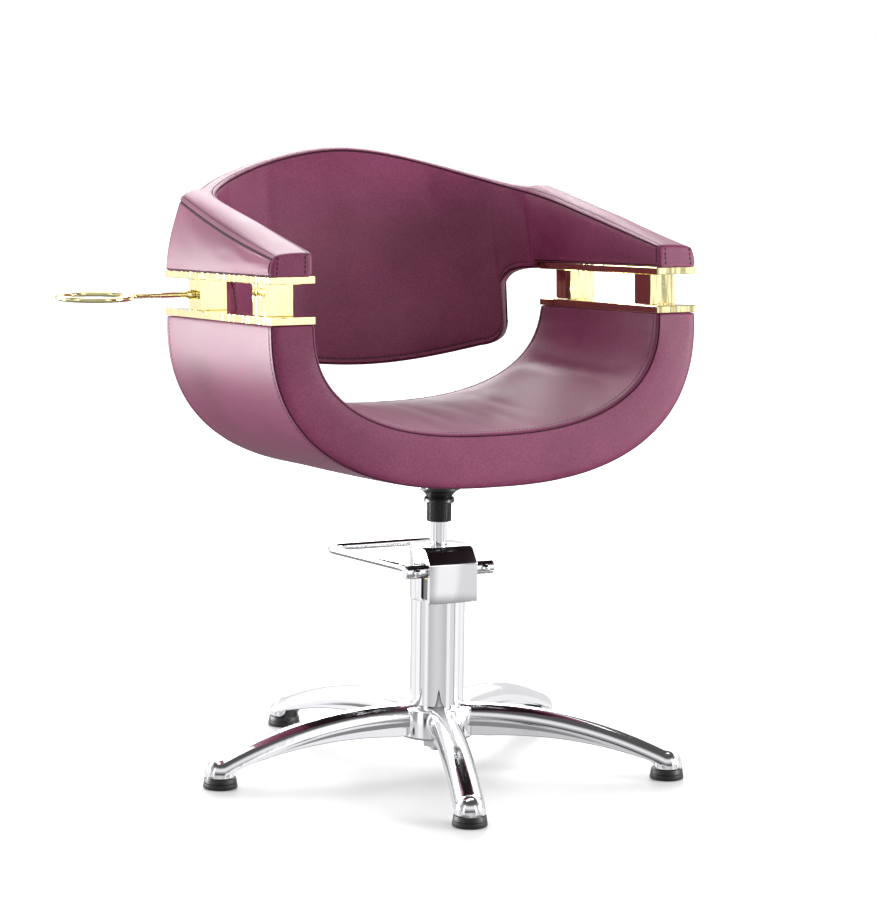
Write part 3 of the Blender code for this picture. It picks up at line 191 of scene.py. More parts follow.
def pushFaces(bm, faces, vec):
    raised = bmesh.ops.extrude_face_region(bm, geom=faces)["geom"]
    bmesh.ops.translate(bm, verts=[v for v in raised if isinstance(v, bmesh.types.BMVert)], vec=vec)


def sliceOff(bm, spot, normal):
    # takes off what lies beyond a plane and closes the cut
    cut = bmesh.ops.bisect_plane(bm, geom=bm.verts[:] + bm.edges[:] + bm.faces[:], dist=1e-6, clear_outer=True,
                                 plane_co=spot, plane_no=normal)["geom_cut"]
    bmesh.ops.contextual_create(bm, geom=[item for item in cut if isinstance(item, bmesh.types.BMEdge)])


def bevelEdges(bm, edges, offset, segments):
    bmesh.ops.bevel(bm, geom=edges, offset=offset, offset_type="OFFSET", affect="EDGES", segments=segments,
                    profile=0.5, material=-1)


def carve(target, tool, operation="DIFFERENCE"):
    step = target.modifiers.new(operation.lower(), "BOOLEAN")
    step.object = tool
    step.operation = operation
    step.solver = "EXACT"
    graph = bpy.context.evaluated_depsgraph_get()
    target.data = bpy.data.meshes.new_from_object(target.evaluated_get(graph))
    target.modifiers.clear()
    bpy.data.objects.remove(tool, do_unlink=True)


def drill(target, radius, low, high, segments, place=Matrix()):
    bm = bmesh.new()
    middle = place @ Matrix.Translation((0, 0, (high + low) / 2))
    bmesh.ops.create_cone(bm, cap_ends=True, segments=segments, radius1=radius, radius2=radius,
                          depth=high - low, matrix=middle)
    carve(target, meshPiece("drillTool", bm))


def dress(piece, finish, body, replaced="", sharp=35, material=None):
    piece.data.materials.clear()
    piece.data.materials.append(material or finishes[finish])
    piece.data.shade_smooth()
    if sharp:
        piece.data.set_sharp_from_angle(angle=math.radians(sharp))
    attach(piece, body)
    if replaced:
        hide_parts(replaced)
    return piece


# materials
def addNode(tree, kind, inputs=None, **settings):
    # an input is a plain value or the socket that feeds it
    node = tree.nodes.new("ShaderNode" + kind)
    for key, value in settings.items():
        setattr(node, key, value)
    for key, value in (inputs or {}).items():
        if isinstance(value, bpy.types.NodeSocket):
            tree.links.new(value, node.inputs[key])
        else:
            node.inputs[key].default_value = value
    return node


def feed(tree, node, sockets):
    for key, socket in sockets.items():
        tree.links.new(socket, node.inputs[key])


def objectPlace(tree):
    return addNode(tree, "TexCoord").outputs["Object"]


def noise(tree, coords, scale, detail, roughness=0.5):
    return addNode(tree, "TexNoise", {"Vector": coords, "Scale": scale, "Detail": detail,
                                      "Roughness": roughness}).outputs["Fac"]


def remap(tree, value, fromLow, fromHigh, low=0.0, high=1.0, kind="LINEAR"):
    limits = {"Value": value, "From Min": fromLow, "From Max": fromHigh, "To Min": low, "To Max": high}
    return addNode(tree, "MapRange", limits, interpolation_type=kind).outputs["Result"]


def product(tree, first, second):
    return addNode(tree, "Math", {0: first, 1: second}, operation="MULTIPLY").outputs[0]


def weighed(tree, first, share, rest):
    # first times its share, with the rest added
    return addNode(tree, "Math", {0: first, 1: share, 2: rest}, operation="MULTIPLY_ADD").outputs[0]


def colourMix(tree, share, first, second):
    # a colour mix has its two colours on sockets 6 and 7 and its result on 2
    pair = [c if isinstance(c, bpy.types.NodeSocket) else (*c, 1) for c in (first, second)]
    return addNode(tree, "Mix", {0: share, 6: pair[0], 7: pair[1]}, data_type="RGBA").outputs[2]


def colourRamp(tree, share, stops):
    ramp = addNode(tree, "ValToRGB", {"Fac": share})
    elements = ramp.color_ramp.elements
    for k, (position, colour) in enumerate(stops):
        element = elements[k] if k < 2 else elements.new(position)   # a new ramp has two
        element.position, element.color = position, (*colour, 1)
    return ramp.outputs["Color"]


def bumped(tree, height, strength, distance, under=None):
    bump = addNode(tree, "Bump", {"Height": height, "Strength": strength, "Distance": distance})
    if under:
        tree.links.new(under, bump.inputs["Normal"])
    return bump.outputs["Normal"]


def tinted(tree, shader, mask, dark, light, low, high, span=(0.0, 1.0)):
    # colour and roughness both follow one mask
    feed(tree, shader, {"Base Color": colourMix(tree, mask, dark, light),
                        "Roughness": remap(tree, mask, *span, low, high)})


def newMaterial(name, constants=None):
    material = bpy.data.materials.new(name)
    material.use_nodes = True
    shader = material.node_tree.nodes["Principled BSDF"]
    for key, value in (constants or {}).items():
        shader.inputs[key].default_value = value
    return material, material.node_tree, shader


def newGroup(name, inputs, outputs):
    group = bpy.data.node_groups.new(name, "ShaderNodeTree")
    for label, value in inputs.items():
        socket = group.interface.new_socket(label, in_out="INPUT", socket_type="NodeSocketFloat")
        socket.default_value = value
    for label in outputs:
        group.interface.new_socket(label, in_out="OUTPUT", socket_type="NodeSocketFloat")
    return group, group.nodes.new("NodeGroupInput").outputs, group.nodes.new("NodeGroupOutput")


def makePolishGroup():
    # soft smudges, fine buffing marks and a slow upright wave, for every polished metal
    group, enter, leave = newGroup("polishMarks", {"Smudge": 9.0, "Marks": 420.0, "Low": 0.05, "High": 0.14},
                                   ["Roughness", "Height", "Smear", "Wave"])
    coords = objectPlace(group)
    smudge = noise(group, coords, enter["Smudge"], 5.0, 0.62)
    buffed = addNode(group, "Mapping", {"Vector": coords, "Scale": (1.0, 0.06, 0.35),
                                        "Rotation": (0.2, 0.1, 0.5)})
    marks = noise(group, buffed.outputs["Vector"], enter["Marks"], 3.0, 0.7)
    upright = addNode(group, "Mapping", {"Vector": coords, "Scale": (1.0, 1.0, 0.12)})
    wave = noise(group, upright.outputs["Vector"], 75.0, 1.5)
    both = weighed(group, marks, 0.45, product(group, smudge, 0.55))
    rough = remap(group, both, 0.34, 0.66, enter["Low"], enter["High"])
    feed(group, leave, {"Roughness": rough, "Height": marks, "Smear": smudge, "Wave": wave})
    return group


def makeGrainGroup():
    # moulded or cast surface: fine pits and slow drift in shade
    group, enter, leave = newGroup("mouldedGrain", {"Grain": 900.0, "Drift": 14.0}, ["Shade", "Height"])
    coords = objectPlace(group)
    grain = noise(group, coords, enter["Grain"], 4.0, 0.7)
    drift = noise(group, coords, enter["Drift"], 4.0, 0.55)
    feed(group, leave, {"Shade": weighed(group, grain, 0.4, product(group, drift, 0.6)), "Height": grain})
    return group


polishMarks = makePolishGroup()
mouldedGrain = makeGrainGroup()


def polishedMetal(name, dark, light, low, high, smudge, marks, relief=0.00002, wave=0.0):
    material, tree, shader = newMaterial(name, {"Metallic": 1.0})
    polish = addNode(tree, "Group", {"Smudge": smudge, "Marks": marks, "Low": low, "High": high},
                     node_tree=polishMarks).outputs
    under = bumped(tree, polish["Wave"], 1.0, wave) if wave else None
    feed(tree, shader, {"Base Color": colourMix(tree, polish["Smear"], dark, light),
                        "Roughness": polish["Roughness"],
                        "Normal": bumped(tree, polish["Height"], 0.35, relief, under)})
    return material


def mouldedMaterial(name, dark, light, low, high, grain=900.0, drift=14.0, relief=0.00008):
    material, tree, shader = newMaterial(name)
    surface = addNode(tree, "Group", {"Grain": grain, "Drift": drift}, node_tree=mouldedGrain).outputs
    tinted(tree, shader, surface["Shade"], dark, light, low, high, (0.3, 0.7))
    feed(tree, shader, {"Normal": bumped(tree, surface["Height"], 0.5, relief)})
    return material


leatherLook = {
    "deep": (0.142, 0.020, 0.060), "plain": (0.196, 0.032, 0.088), "pale": (0.252, 0.049, 0.120),
    # seam is the near-black of the shade painted into grooves and under the seat
    "seam": (0.016, 0.003, 0.008), "gloss": 0.32, "low": 0.36, "high": 0.52, "dull": 0.95,
    "cloud": 7.0, "mottle": 420.0, "pebble": 850.0, "pores": 2400.0, "relief": 0.00016,
}


def makeLeather():
    look = leatherLook
    material, tree, shader = newMaterial("plumLeather", {"Specular IOR Level": look["gloss"]})
    coords = objectPlace(tree)
    cloud = noise(tree, coords, look["cloud"], 5.0, 0.6)
    tone = weighed(tree, noise(tree, coords, look["mottle"], 3.0, 0.6), 0.55, product(tree, cloud, 0.45))
    body = colourRamp(tree, tone, [(0.37, look["deep"]), (0.5, look["plain"]), (0.63, look["pale"])])
    seam = addNode(tree, "Attribute", attribute_name="seamShade").outputs["Fac"]
    rough = remap(tree, tone, 0.32, 0.68, look["low"], look["high"])
    dull = addNode(tree, "Mix", {0: seam, 2: rough, 3: look["dull"]}).outputs[0]   # seams are rougher
    pebble = addNode(tree, "TexVoronoi", {"Vector": coords, "Scale": look["pebble"]},
                     feature="DISTANCE_TO_EDGE")
    crease = remap(tree, pebble.outputs["Distance"], 0.0, 0.22)
    grain = weighed(tree, noise(tree, coords, look["pores"], 2.0), 0.25, crease)
    # painted shade: seamShade darkens the sewn grooves, the stitch rows and the seat's underside
    feed(tree, shader, {"Base Color": colourMix(tree, seam, body, look["seam"]), "Roughness": dull,
                        "Normal": bumped(tree, grain, 0.32, look["relief"])})
    return material


def makeThread():
    material, tree, shader = newMaterial("darkThread")
    mask = addNode(tree, "TexWave", {"Vector": objectPlace(tree), "Scale": 900.0, "Distortion": 2.0,
                                     "Detail": 1.0}).outputs["Fac"]
    tinted(tree, shader, mask, (0.006, 0.002, 0.003), (0.024, 0.007, 0.013), 0.5, 0.75)
    feed(tree, shader, {"Normal": bumped(tree, mask, 0.5, 0.0001)})
    return material


def makePly():
    material, tree, shader = newMaterial("beechPly")
    stretch = addNode(tree, "Mapping", {"Vector": objectPlace(tree), "Scale": (9.0, 0.6, 1.0)})
    fibre = noise(tree, stretch.outputs["Vector"], 30.0, 5.0)
    tinted(tree, shader, fibre, (0.40, 0.25, 0.13), (0.62, 0.45, 0.27), 0.55, 0.8)
    return material


thread = makeThread()
finishes = {   # dark and light colour, low and high roughness, then the sizes of the marks
    "plum_leather": makeLeather(),
    "polished_gold": polishedMetal("polishedGold", (0.92, 0.79, 0.36), (1.0, 0.93, 0.58), 0.03, 0.10,
                                   14.0, 500.0, wave=0.0007),
    "chrome": polishedMetal("brightChrome", (0.84, 0.84, 0.86), (0.90, 0.90, 0.91), 0.03, 0.09, 10.0, 460.0),
    "polished_aluminium": polishedMetal("polishedAluminium", (0.78, 0.78, 0.80), (0.88, 0.88, 0.89),
                                        0.06, 0.15, 16.0, 380.0, 0.00004, 0.0002),
    "plain_steel": polishedMetal("plainSteel", (0.40, 0.40, 0.42), (0.52, 0.52, 0.54), 0.24, 0.42,
                                 20.0, 300.0, 0.00006),
    "bronze": polishedMetal("turnedBronze", (0.45, 0.27, 0.10), (0.60, 0.39, 0.18), 0.25, 0.42,
                            20.0, 300.0, 0.00005),
    "black_plastic": mouldedMaterial("blackPlastic", (0.005, 0.005, 0.006), (0.014, 0.014, 0.015), 0.14, 0.26),
    "black_painted": mouldedMaterial("blackPaint", (0.006, 0.006, 0.007), (0.016, 0.016, 0.017), 0.20, 0.34,
                                     700.0),
    "black_rubber": mouldedMaterial("blackRubber", (0.005, 0.005, 0.005), (0.014, 0.014, 0.015), 0.34, 0.52,
                                    1300.0),
    # painted shade: the pump head is near black, so the slot in the cap under the shaft reads dark
    "cast_iron": mouldedMaterial("castIron", (0.010, 0.010, 0.011), (0.028, 0.028, 0.030), 0.50, 0.70,
                                 500.0, 20.0, 0.0002),
    "beech_ply": makePly(),
}
for node in nodes.values():
    for slot in node.material_slots:
        slot.material = finishes[slot.material.name.split(".")[0]]
print("materials made:", len(finishes) + 1)

star = {
    "legs": 5, "firstTurn": math.pi, "reach": 0.345, "half": 0.022, "webHalf": 0.0155, "wall": 0.006,
    "crestReach": 0.080, "crest": 0.0985, "tip": 0.043, "hubDepth": 0.0465, "tipDepth": 0.0235,
    "undercut": 0.42, "tuck": 0.42, "hollow": 0.55, "edge": 0.0012, "soleHeight": 0.0158, "arc": 20,
    "root": 0.020, "stations": 26, "straightEnd": 1.05, "noseStart": 1.02, "noseRun": 0.5, "noseArc": 10,
    "noseSteps": (0.95, 0.85, 0.72, 0.55, 0.35, 0.17, 0.0),
    "hubRadius": 0.058, "hubLow": 0.048, "hubTop": 0.0935, "hubEdge": 0.004,
    "bore": (0.0403, 0.055, 0.12), "studHole": (0.0093, 0.03, 0.07),   # radius, from, to
}
legTurns = [star["firstTurn"] + math.tau * k / star["legs"] for k in range(star["legs"])]


def legTop(reach):
    run = star["reach"] - star["crestReach"]
    fall = star["crest"] - star["tip"]
    radius = (run ** 2 + fall ** 2) / (2 * fall)
    return star["crest"] - radius + math.sqrt(radius ** 2 - (reach - star["crestReach"]) ** 2)


def legRing(reach):
    # half-round rail over a hollow web; the end turns into a round nose over the foot
    s = star
    past = reach - s["reach"]
    noseHalf = math.sqrt(max(1e-6, s["half"] ** 2 - past ** 2))
    half = noseHalf if past > 0 else s["half"]
    top = legTop(min(reach, s["reach"]))
    rail = top - s["half"]
    share = max(0.0, (min(reach, s["reach"]) - s["crestReach"]) / (s["reach"] - s["crestReach"]))
    nose = ease((past + s["half"] * s["noseStart"]) / (s["half"] * s["noseRun"]))
    low = mix(top - mix(s["hubDepth"], s["tipDepth"], share), s["soleHeight"], nose)
    lowHalf = noseHalf if past > 0 else max(s["webHalf"], noseHalf)
    inner = min(lowHalf * 0.9, s["webHalf"] - s["wall"])
    drop = rail - low
    hollow = low + max(0.0002, s["hollow"] * drop * (1 - nose))
    dip = min(s["tuck"] * half, s["undercut"] * drop) * (1 - nose)   # the rail rounds on past its widest line
    tuck = math.asin(dip / half)
    left = [(-lowHalf, rail - dip * 1.08 - 0.0004), (-lowHalf, low + s["edge"]), (s["edge"] - lowHalf, low),
            (-inner, low), (-inner, hollow)]
    right = [(-y, z) for y, z in reversed(left)]
    over = arc(half, -tuck, math.pi + tuck, s["arc"] + 1, (0, rail))
    return [Vector((reach, y, z)) for y, z in over + left + right]


def makeStarBase():
    s = star
    reaches = spread(s["root"], s["reach"] - s["half"] * s["straightEnd"], s["stations"])
    reaches += [s["reach"] - s["half"] * k for k in s["noseSteps"]]
    reaches += [s["reach"] + s["half"] * math.sin(a) for a in spread(0, math.pi / 2, s["noseArc"] + 1)[1:-1]]
    leg = meshPiece("legTool", swept([legRing(reach) for reach in reaches]))
    rim, low, top, edge = s["hubRadius"], s["hubLow"], s["hubTop"], s["hubEdge"]
    base = meshPiece("starBase", turned(
        [(0, top), (rim - edge, top), (rim - edge * 0.3, top - edge * 0.3), (rim, top - edge),
         (rim, low + edge), (rim - edge, low), (0, low)], 64))
    for turn in legTurns:
        copy = bpy.data.objects.new("legCopy", leg.data.copy())
        scene.collection.objects.link(copy)
        copy.data.transform(Matrix.Rotation(turn, 4, "Z"))
        carve(base, copy, "UNION")
    bpy.data.objects.remove(leg, do_unlink=True)
    for hole in (s["bore"], s["studHole"]):
        drill(base, *hole, 96)
    base.data.transform(basePlace)
    dress(base, "polished_aluminium", "base", "star_base", 32)


foot = {"radius": 0.025, "height": 0.0155, "edge": 0.0018, "groove": 0.0007}


def makeFeet():
    r, h, e, g = foot["radius"], foot["height"], foot["edge"], foot["groove"]
    outline = [(0, h), (r - 2 * e, h), (r - 1.3 * e, h - 0.3 * e), (r - e, h - e), (r - 0.6 * e, h * 0.56),
               (r - 0.6 * e - g, h * 0.53), (r - 0.5 * e, h * 0.5), (r, e), (r - 0.3 * e, 0.3 * e),
               (r - e, 0), (0, 0)]
    for k, turn in enumerate(legTurns):
        where = Matrix.Translation((star["reach"] * math.cos(turn), star["reach"] * math.sin(turn), 0))
        piece = meshPiece(f"foot{k + 1}", turned(outline, 56), basePlace @ where)
        dress(piece, "black_rubber", "base", f"foot_{k + 1}", 40)


makeStarBase()
makeFeet()
print("star base and feet made")

pump = {"radius": 0.040, "wall": 0.003, "low": 0.0553, "top": 0.258, "lip": 0.0012, "steps": 112}
rod = {"radius": 0.0125, "edge": 0.0015, "neck": 0.008, "neckLength": 0.0153, "steps": 48}
cap = {"half": 0.039, "front": 0.052, "low": 0.254, "top": 0.334, "round": 0.008, "slopeRise": 0.0230,
       "slopeRun": 0.0180, "sleeve": 0.042, "wall": 0.0015, "rodHole": 0.014, "slotHalf": 0.0108,
       "edge": 0.0011, "clear": 0.01, "slotReach": 0.1, "sharpFrom": 0.45}


def makeColumn():
    outer, top, low, lip = pump["radius"], pump["top"], pump["low"], pump["lip"]
    inner = outer - pump["wall"]
    outline = [(inner, top), (outer - lip, top), (outer, top - lip), (outer, low), (inner, low)]
    piece = meshPiece("pumpColumn", turned(outline, pump["steps"], closed=True), basePlace)
    dress(piece, "chrome", "base", "pump_column")


def capBody(inset, low, edge):
    # flat front with a sloping shoulder, round rear; the inside is the same shape, drawn in
    c = cap
    half, front, top = c["half"] - inset, inset - c["front"], c["top"] - inset
    radius = c["sleeve"] - inset * 1.13
    start = math.acos(half / radius)
    outline = [(-half, front), (half, front)] + arc(radius, -start, math.pi + start, 61)
    bm = bmesh.new()
    pushFaces(bm, [bm.faces.new([bm.verts.new((x, y, low)) for x, y in outline])], (0, 0, top - low))
    slope = Vector((0, -c["slopeRise"], c["slopeRun"])).normalized()
    sliceOff(bm, Vector((0, -c["front"], c["top"] - c["slopeRise"])) - slope * inset, slope)
    ridge = [e for e in bm.edges if all(v.co.z > top - 1e-6 and v.co.y < front + 0.03 for v in e.verts)
             and abs(e.verts[0].co.y - e.verts[1].co.y) < 1e-6]
    bevelEdges(bm, ridge, c["round"] - inset, 8)
    bmesh.ops.recalc_face_normals(bm, faces=bm.faces)
    if edge:
        sharp = [e for e in bm.edges if len(e.link_faces) == 2 and e.calc_face_angle() > c["sharpFrom"]]
        bevelEdges(bm, sharp, edge, 3)
    return bm


def makeCap():
    c = cap
    piece = meshPiece("pumpCap", capBody(0.0, c["low"], c["edge"]))
    carve(piece, meshPiece("capInside", capBody(c["wall"], c["low"] - c["clear"], 0.0)))
    drill(piece, c["rodHole"], c["top"] - c["clear"], c["top"] + c["clear"], 48)
    half, drop = c["slotHalf"], c["low"] - c["clear"] - chair["shaftHeight"]
    outline = arc(half, 0, math.pi, 25) + [(-half, drop), (half, drop)]
    bm = bmesh.new()
    face = bm.faces.new([bm.verts.new((-c["slotReach"], y, z)) for y, z in outline])
    pushFaces(bm, [face], (2 * c["slotReach"], 0, 0))
    bmesh.ops.recalc_face_normals(bm, faces=bm.faces)
    carve(piece, meshPiece("slotTool", bm, shaftSpot))
    piece.data.transform(basePlace)
    dress(piece, "chrome", "base", "pump_cap", 30)


def makeRod():
    low, high = (corner.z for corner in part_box("piston_rod"))
    radius, edge, neck, shoulder = rod["radius"], rod["edge"], rod["neck"], low + rod["neckLength"]
    outline = [(0, high), (radius - edge, high), (radius, high - edge), (radius, shoulder), (neck, shoulder),
               (neck, low), (0, low)]
    dress(meshPiece("pistonRod", turned(outline, rod["steps"]), basePlace), "chrome", "lift", "piston_rod")


makeColumn()
makeCap()
makeRod()
print("pump column, cap and rod made")

pedal = {"shaft": 0.010, "half": 0.0715, "chamfer": 0.0012, "rod": 0.006, "arm": 0.056, "nose": 0.0125,
         "straight": 0.045, "wide": 0.095, "reach": 0.240, "bend": 0.028, "sides": 20, "holeHalf": 0.025}


def makePedal():
    p = pedal
    radius, half, edge = p["shaft"], p["half"], p["chamfer"]
    outline = [(0, half), (radius - edge, half), (radius, half - edge), (radius, edge - half),
               (radius - edge, -half), (0, -half)]
    piece = meshPiece("pedalShaft", turned(outline, 48), Matrix.Rotation(math.pi / 2, 4, "Y"))
    for side in (-1, 1):
        place = Matrix.Translation((side * p["arm"], 0, 0)) @ Matrix.Rotation(math.pi / 2, 4, "X")
        drill(piece, p["rod"] + chair["gap"], -p["holeHalf"], p["holeHalf"], 32, place)
    piece.data.transform(shaftPlace)
    dress(piece, "chrome", "pedal", "pedal_shaft", 30)
    right = [(p["arm"], -p["nose"], 0), (p["arm"], p["straight"], 0), (p["wide"], p["reach"], 0)]
    left = [(-x, y, z) for x, y, z in reversed(right)]
    bar = wire(bentPath(right + left, p["bend"]), p["rod"], p["sides"])
    dress(meshPiece("pedalBar", bar, shaftPlace), "chrome", "pedal", "pedal_bar", 60)


spring = {"wire": 0.0007, "turns": 4, "steps": 14, "sides": 8, "travel": 0.0245, "gap": 0.0002, "least": 0.06}


def makeSpring():
    # stands on the pump head; the real one shortens as the pedal presses the plunger, this one is made at rest
    # with a mesh of its own
    low, high = (Vector(corner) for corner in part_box("plunger_spring"))
    centre, tall, thin = (low + high) / 2, high.z - low.z, spring["wire"]
    turns, radius = spring["turns"], (high.x - low.x) / 2 - thin
    coil = arc(radius, 0, math.tau * turns, turns * spring["steps"] + 1, centre)
    rises = spread(low.z + thin, high.z - thin, len(coil))
    bm = wire([(x, y, z) for (x, y), z in zip(coil, rises)], thin, spring["sides"])
    piece = dress(meshPiece("plungerSpring", bm), "plain_steel", "base", "plunger_spring", 60)
    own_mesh(piece)


makePedal()
makeSpring()
print("pedal and spring made")

collar = {"low": 0.369, "top": 0.3965, "radius": 0.0182, "rib": 0.0010, "ribs": 36, "hole": 0.0161}
flange = {"bead": 0.0225, "waist": 0.0185, "dish": 0.031, "beadLow": 0.3968, "dishLow": 0.4165, "edge": 0.001,
          "socket": 0.0158, "socketBore": 0.0128, "boreTop": 0.4128, "underPlate": -0.0016, "spare": 0.02,
          "steps": 64}


def makeCollar():
    c = collar
    bm = bmesh.new()
    outer = bmesh.ops.create_circle(bm, cap_ends=False, segments=c["ribs"] * 4, radius=c["radius"])["verts"]
    for k, vert in enumerate(outer):
        if k % 4 in (2, 3):   # the grooves between the ribs
            vert.co *= 1 - c["rib"] / c["radius"]
    bmesh.ops.create_circle(bm, cap_ends=False, segments=c["ribs"] * 4, radius=c["hole"])
    pushFaces(bm, bmesh.ops.bridge_loops(bm, edges=bm.edges[:])["faces"], (0, 0, c["top"] - c["low"]))
    bmesh.ops.recalc_face_normals(bm, faces=bm.faces)
    piece = meshPiece("ribbedCollar", bm, basePlace @ Matrix.Translation((0, 0, c["low"])))
    dress(piece, "black_plastic", "seat", "ribbed_collar", 25)


def makeFlange():
    f = flange
    bead, low, edge, rise = f["bead"], f["beadLow"], f["edge"], f["dishLow"] - f["beadLow"]
    over = f["dishLow"] + f["spare"]   # cut off along the leaning plate afterwards
    outline = [(0, over), (f["dish"], over), (f["dish"], f["dishLow"])]
    for t in spread(0, 1, 9)[1:]:
        outline.append((mix(f["dish"], f["waist"], t ** 0.62), f["dishLow"] - rise * 0.55 * t))
    outline += [(bead - edge, low + rise * 0.36), (bead, low + rise * 0.28), (bead, low + edge),
                (bead - edge, low), (f["socket"], low), (f["socket"], collar["low"]),
                (f["socketBore"], collar["low"]), (f["socketBore"], f["boreTop"]), (0, f["boreTop"])]
    bm = turned(outline, f["steps"])
    up = Vector((0, math.sin(chair["lean"]), math.cos(chair["lean"])))
    sliceOff(bm, Vector((0, 0, chair["pivot"])) + up * f["underPlate"], up)
    bmesh.ops.recalc_face_normals(bm, faces=bm.faces)
    dress(meshPiece("seatFlange", bm, basePlace), "black_painted", "seat", "seat_flange", 40)


makeCollar()
makeFlange()
print("collar and flange made")

holder = {"x": -0.326, "v": 0.141, "w": 0.2763, "wire": 0.004, "stem": 0.100, "ring": 0.053, "points": 90,
          "start": math.radians(16.0), "opening": math.radians(28.0), "join": 3, "bend": 0.014,
          "inside": 0.012, "sides": 18, "boss": 0.007, "bossLength": 0.012, "edge": 0.001, "step": 0.0012,
          "tip": 0.0008}


def makeDryerHolder():
    # a ferrule on the rear left post and a wire bent into an open ring
    h = holder
    place = seatPlace @ Matrix.Translation((h["x"], h["v"], h["w"])) @ Matrix.Rotation(chair["lean"], 4, "X")
    bore, rim, long, step = h["wire"] + chair["gap"], h["boss"], h["bossLength"], h["boss"] - h["step"]
    outline = [(bore, 0), (rim - h["edge"], 0), (rim, h["edge"]), (rim, long * 0.62), (step, long * 0.7),
               (step, long - h["tip"]), (step - h["tip"], long), (bore, long)]
    lay = Matrix.Translation((-chair["gap"], 0, 0)) @ Matrix.Rotation(-math.pi / 2, 4, "Y")
    boss = meshPiece("dryerBoss", turned(outline, 40, closed=True), place @ lay)
    dress(boss, "polished_gold", "seat", "dryer_boss", 30)
    centre = (-h["stem"] - h["ring"], 0)
    loop = [(x, y, 0) for x, y in arc(h["ring"], -h["start"], h["opening"] - math.tau, h["points"], centre)]
    loop = loop[h["join"]:]
    stem = bentPath([(h["inside"], 0, 0), (-h["stem"], 0, 0), loop[0]], h["bend"])
    ring = meshPiece("dryerRing", wire(stem[:-1] + loop, h["wire"], h["sides"]), place)
    dress(ring, "polished_gold", "seat", "dryer_ring", 60)


makeDryerHolder()
print("dryer holder made")

# both padded pieces are a section swept along a path and sewn at marked points of the section
sewing = {"nick": 0.0008, "sink": 0.0028, "rowDip": 0.0010, "rowShade": 0.55, "rowSpan": 0.0010, "frames": 20,
          "stitch": 0.0050, "pitch": 0.0066, "threadWidth": 0.0013, "threadHeight": 0.0009, "batch": 40}
stuffing = {"quality": 4, "mass": 0.3, "tension_stiffness": 25, "compression_stiffness": 25,
            "shear_stiffness": 10, "bending_stiffness": 8.0, "use_pressure": True,
            "uniform_pressure_force": 4.0, "vertex_group_mass": "sewn"}
noRow = (0.0, "")


def settle(piece, sewn, reach):
    # air pressure swells the panels between the sewn lines, and the move is held back softly
    piece.vertex_groups.new(name="sewn").add(sorted(sewn), 1.0, "REPLACE")
    rest = [v.co.copy() for v in piece.data.vertices]
    cloth = piece.modifiers.new("stuffing", "CLOTH")
    for key, value in stuffing.items():
        setattr(cloth.settings, key, value)
    cloth.settings.effector_weights.gravity = 0
    cloth.collision_settings.use_collision = False
    for step in range(1, sewing["frames"] + 1):
        scene.frame_set(step)
    graph = bpy.context.evaluated_depsgraph_get()
    swollen = [v.co.copy() for v in piece.evaluated_get(graph).data.vertices]
    piece.modifiers.clear()
    piece.vertex_groups.clear()
    scene.frame_set(1)
    for vert, a, b in zip(piece.data.vertices, rest, swollen):
        move = b - a
        if move.length > 1e-9:
            vert.co = a + move.normalized() * reach * (1 - math.exp(-move.length / reach))


def upholster(name, bm, sewn, darkness, puff, replaced):
    piece = meshPiece(name, bm)
    settle(piece, sewn, puff)
    # the shade painted into the grooves and under the seat, kept on the points
    shade = piece.data.attributes.new("seamShade", "FLOAT", "POINT")
    shade.data.foreach_set("value", darkness + [0.0] * (len(piece.data.vertices) - len(darkness)))
    piece.data.transform(seatPlace)
    subdivide = piece.modifiers.new("softEdges", "SUBSURF")
    subdivide.levels = subdivide.render_levels = 1
    dress(piece, "plum_leather", "seat", replaced, 0)
    print(name, "made with", len(piece.data.polygons), "faces")
    return piece.data.vertices, BVHTree.FromObject(piece, bpy.context.evaluated_depsgraph_get())


def stitchRow(path, tree):
    # where the beads of thread lie on the leather along a path
    count = max(1, round(pathLength(path) / sewing["pitch"]))
    size = Matrix.Diagonal((sewing["stitch"] / 2, sewing["threadWidth"], sewing["threadHeight"], 1))
    spots = []
    for k, share in placesAlong(path, [(k + 0.5) / count for k in range(count)]):
        hit, normal, face, gap = tree.find_nearest(path[k].lerp(path[k + 1], share))
        along = path[k + 1] - path[k]
        along = (along - normal * along.dot(normal)).normalized()
        turn = Matrix((along, normal.cross(along), normal)).transposed().to_4x4()
        spots.append(Matrix.Translation(hit) @ turn @ size)
    return spots


def stitchPiece(name, spots):
    # elongated beads, made a few at a time because an operator slows down in a full mesh
    whole = bmesh.new()
    for start in range(0, len(spots), sewing["batch"]):
        few = bmesh.new()
        for spot in spots[start:start + sewing["batch"]]:
            bmesh.ops.create_uvsphere(few, u_segments=6, v_segments=5, radius=1.0, matrix=spot)
        carrier = bpy.data.meshes.new("stitches")
        few.to_mesh(carrier)
        few.free()
        whole.from_mesh(carrier)
        bpy.data.meshes.remove(carrier)
    dress(meshPiece(name, whole), "plum_leather", "seat", "", 0, thread)
    print(name, "has", len(spots), "stitches")


def cornerSteps(radius, seamAt):
    # share of a rounded corner, depth of the sewn nick there and the shade painted into it
    wide = sewing["nick"] / (radius * math.pi / 2)
    low, high = seamAt - wide, seamAt + wide
    steps = [(low * k / 3, 0.0, 0.0) for k in range(3)]
    steps += [(low, 0.1, 0.6), (seamAt, 1.0, 1.0), (high, 0.1, 0.6)]
    return steps + [(mix(high, 1.0, k / 3), 0.0, 0.0) for k in (1, 2, 3)]


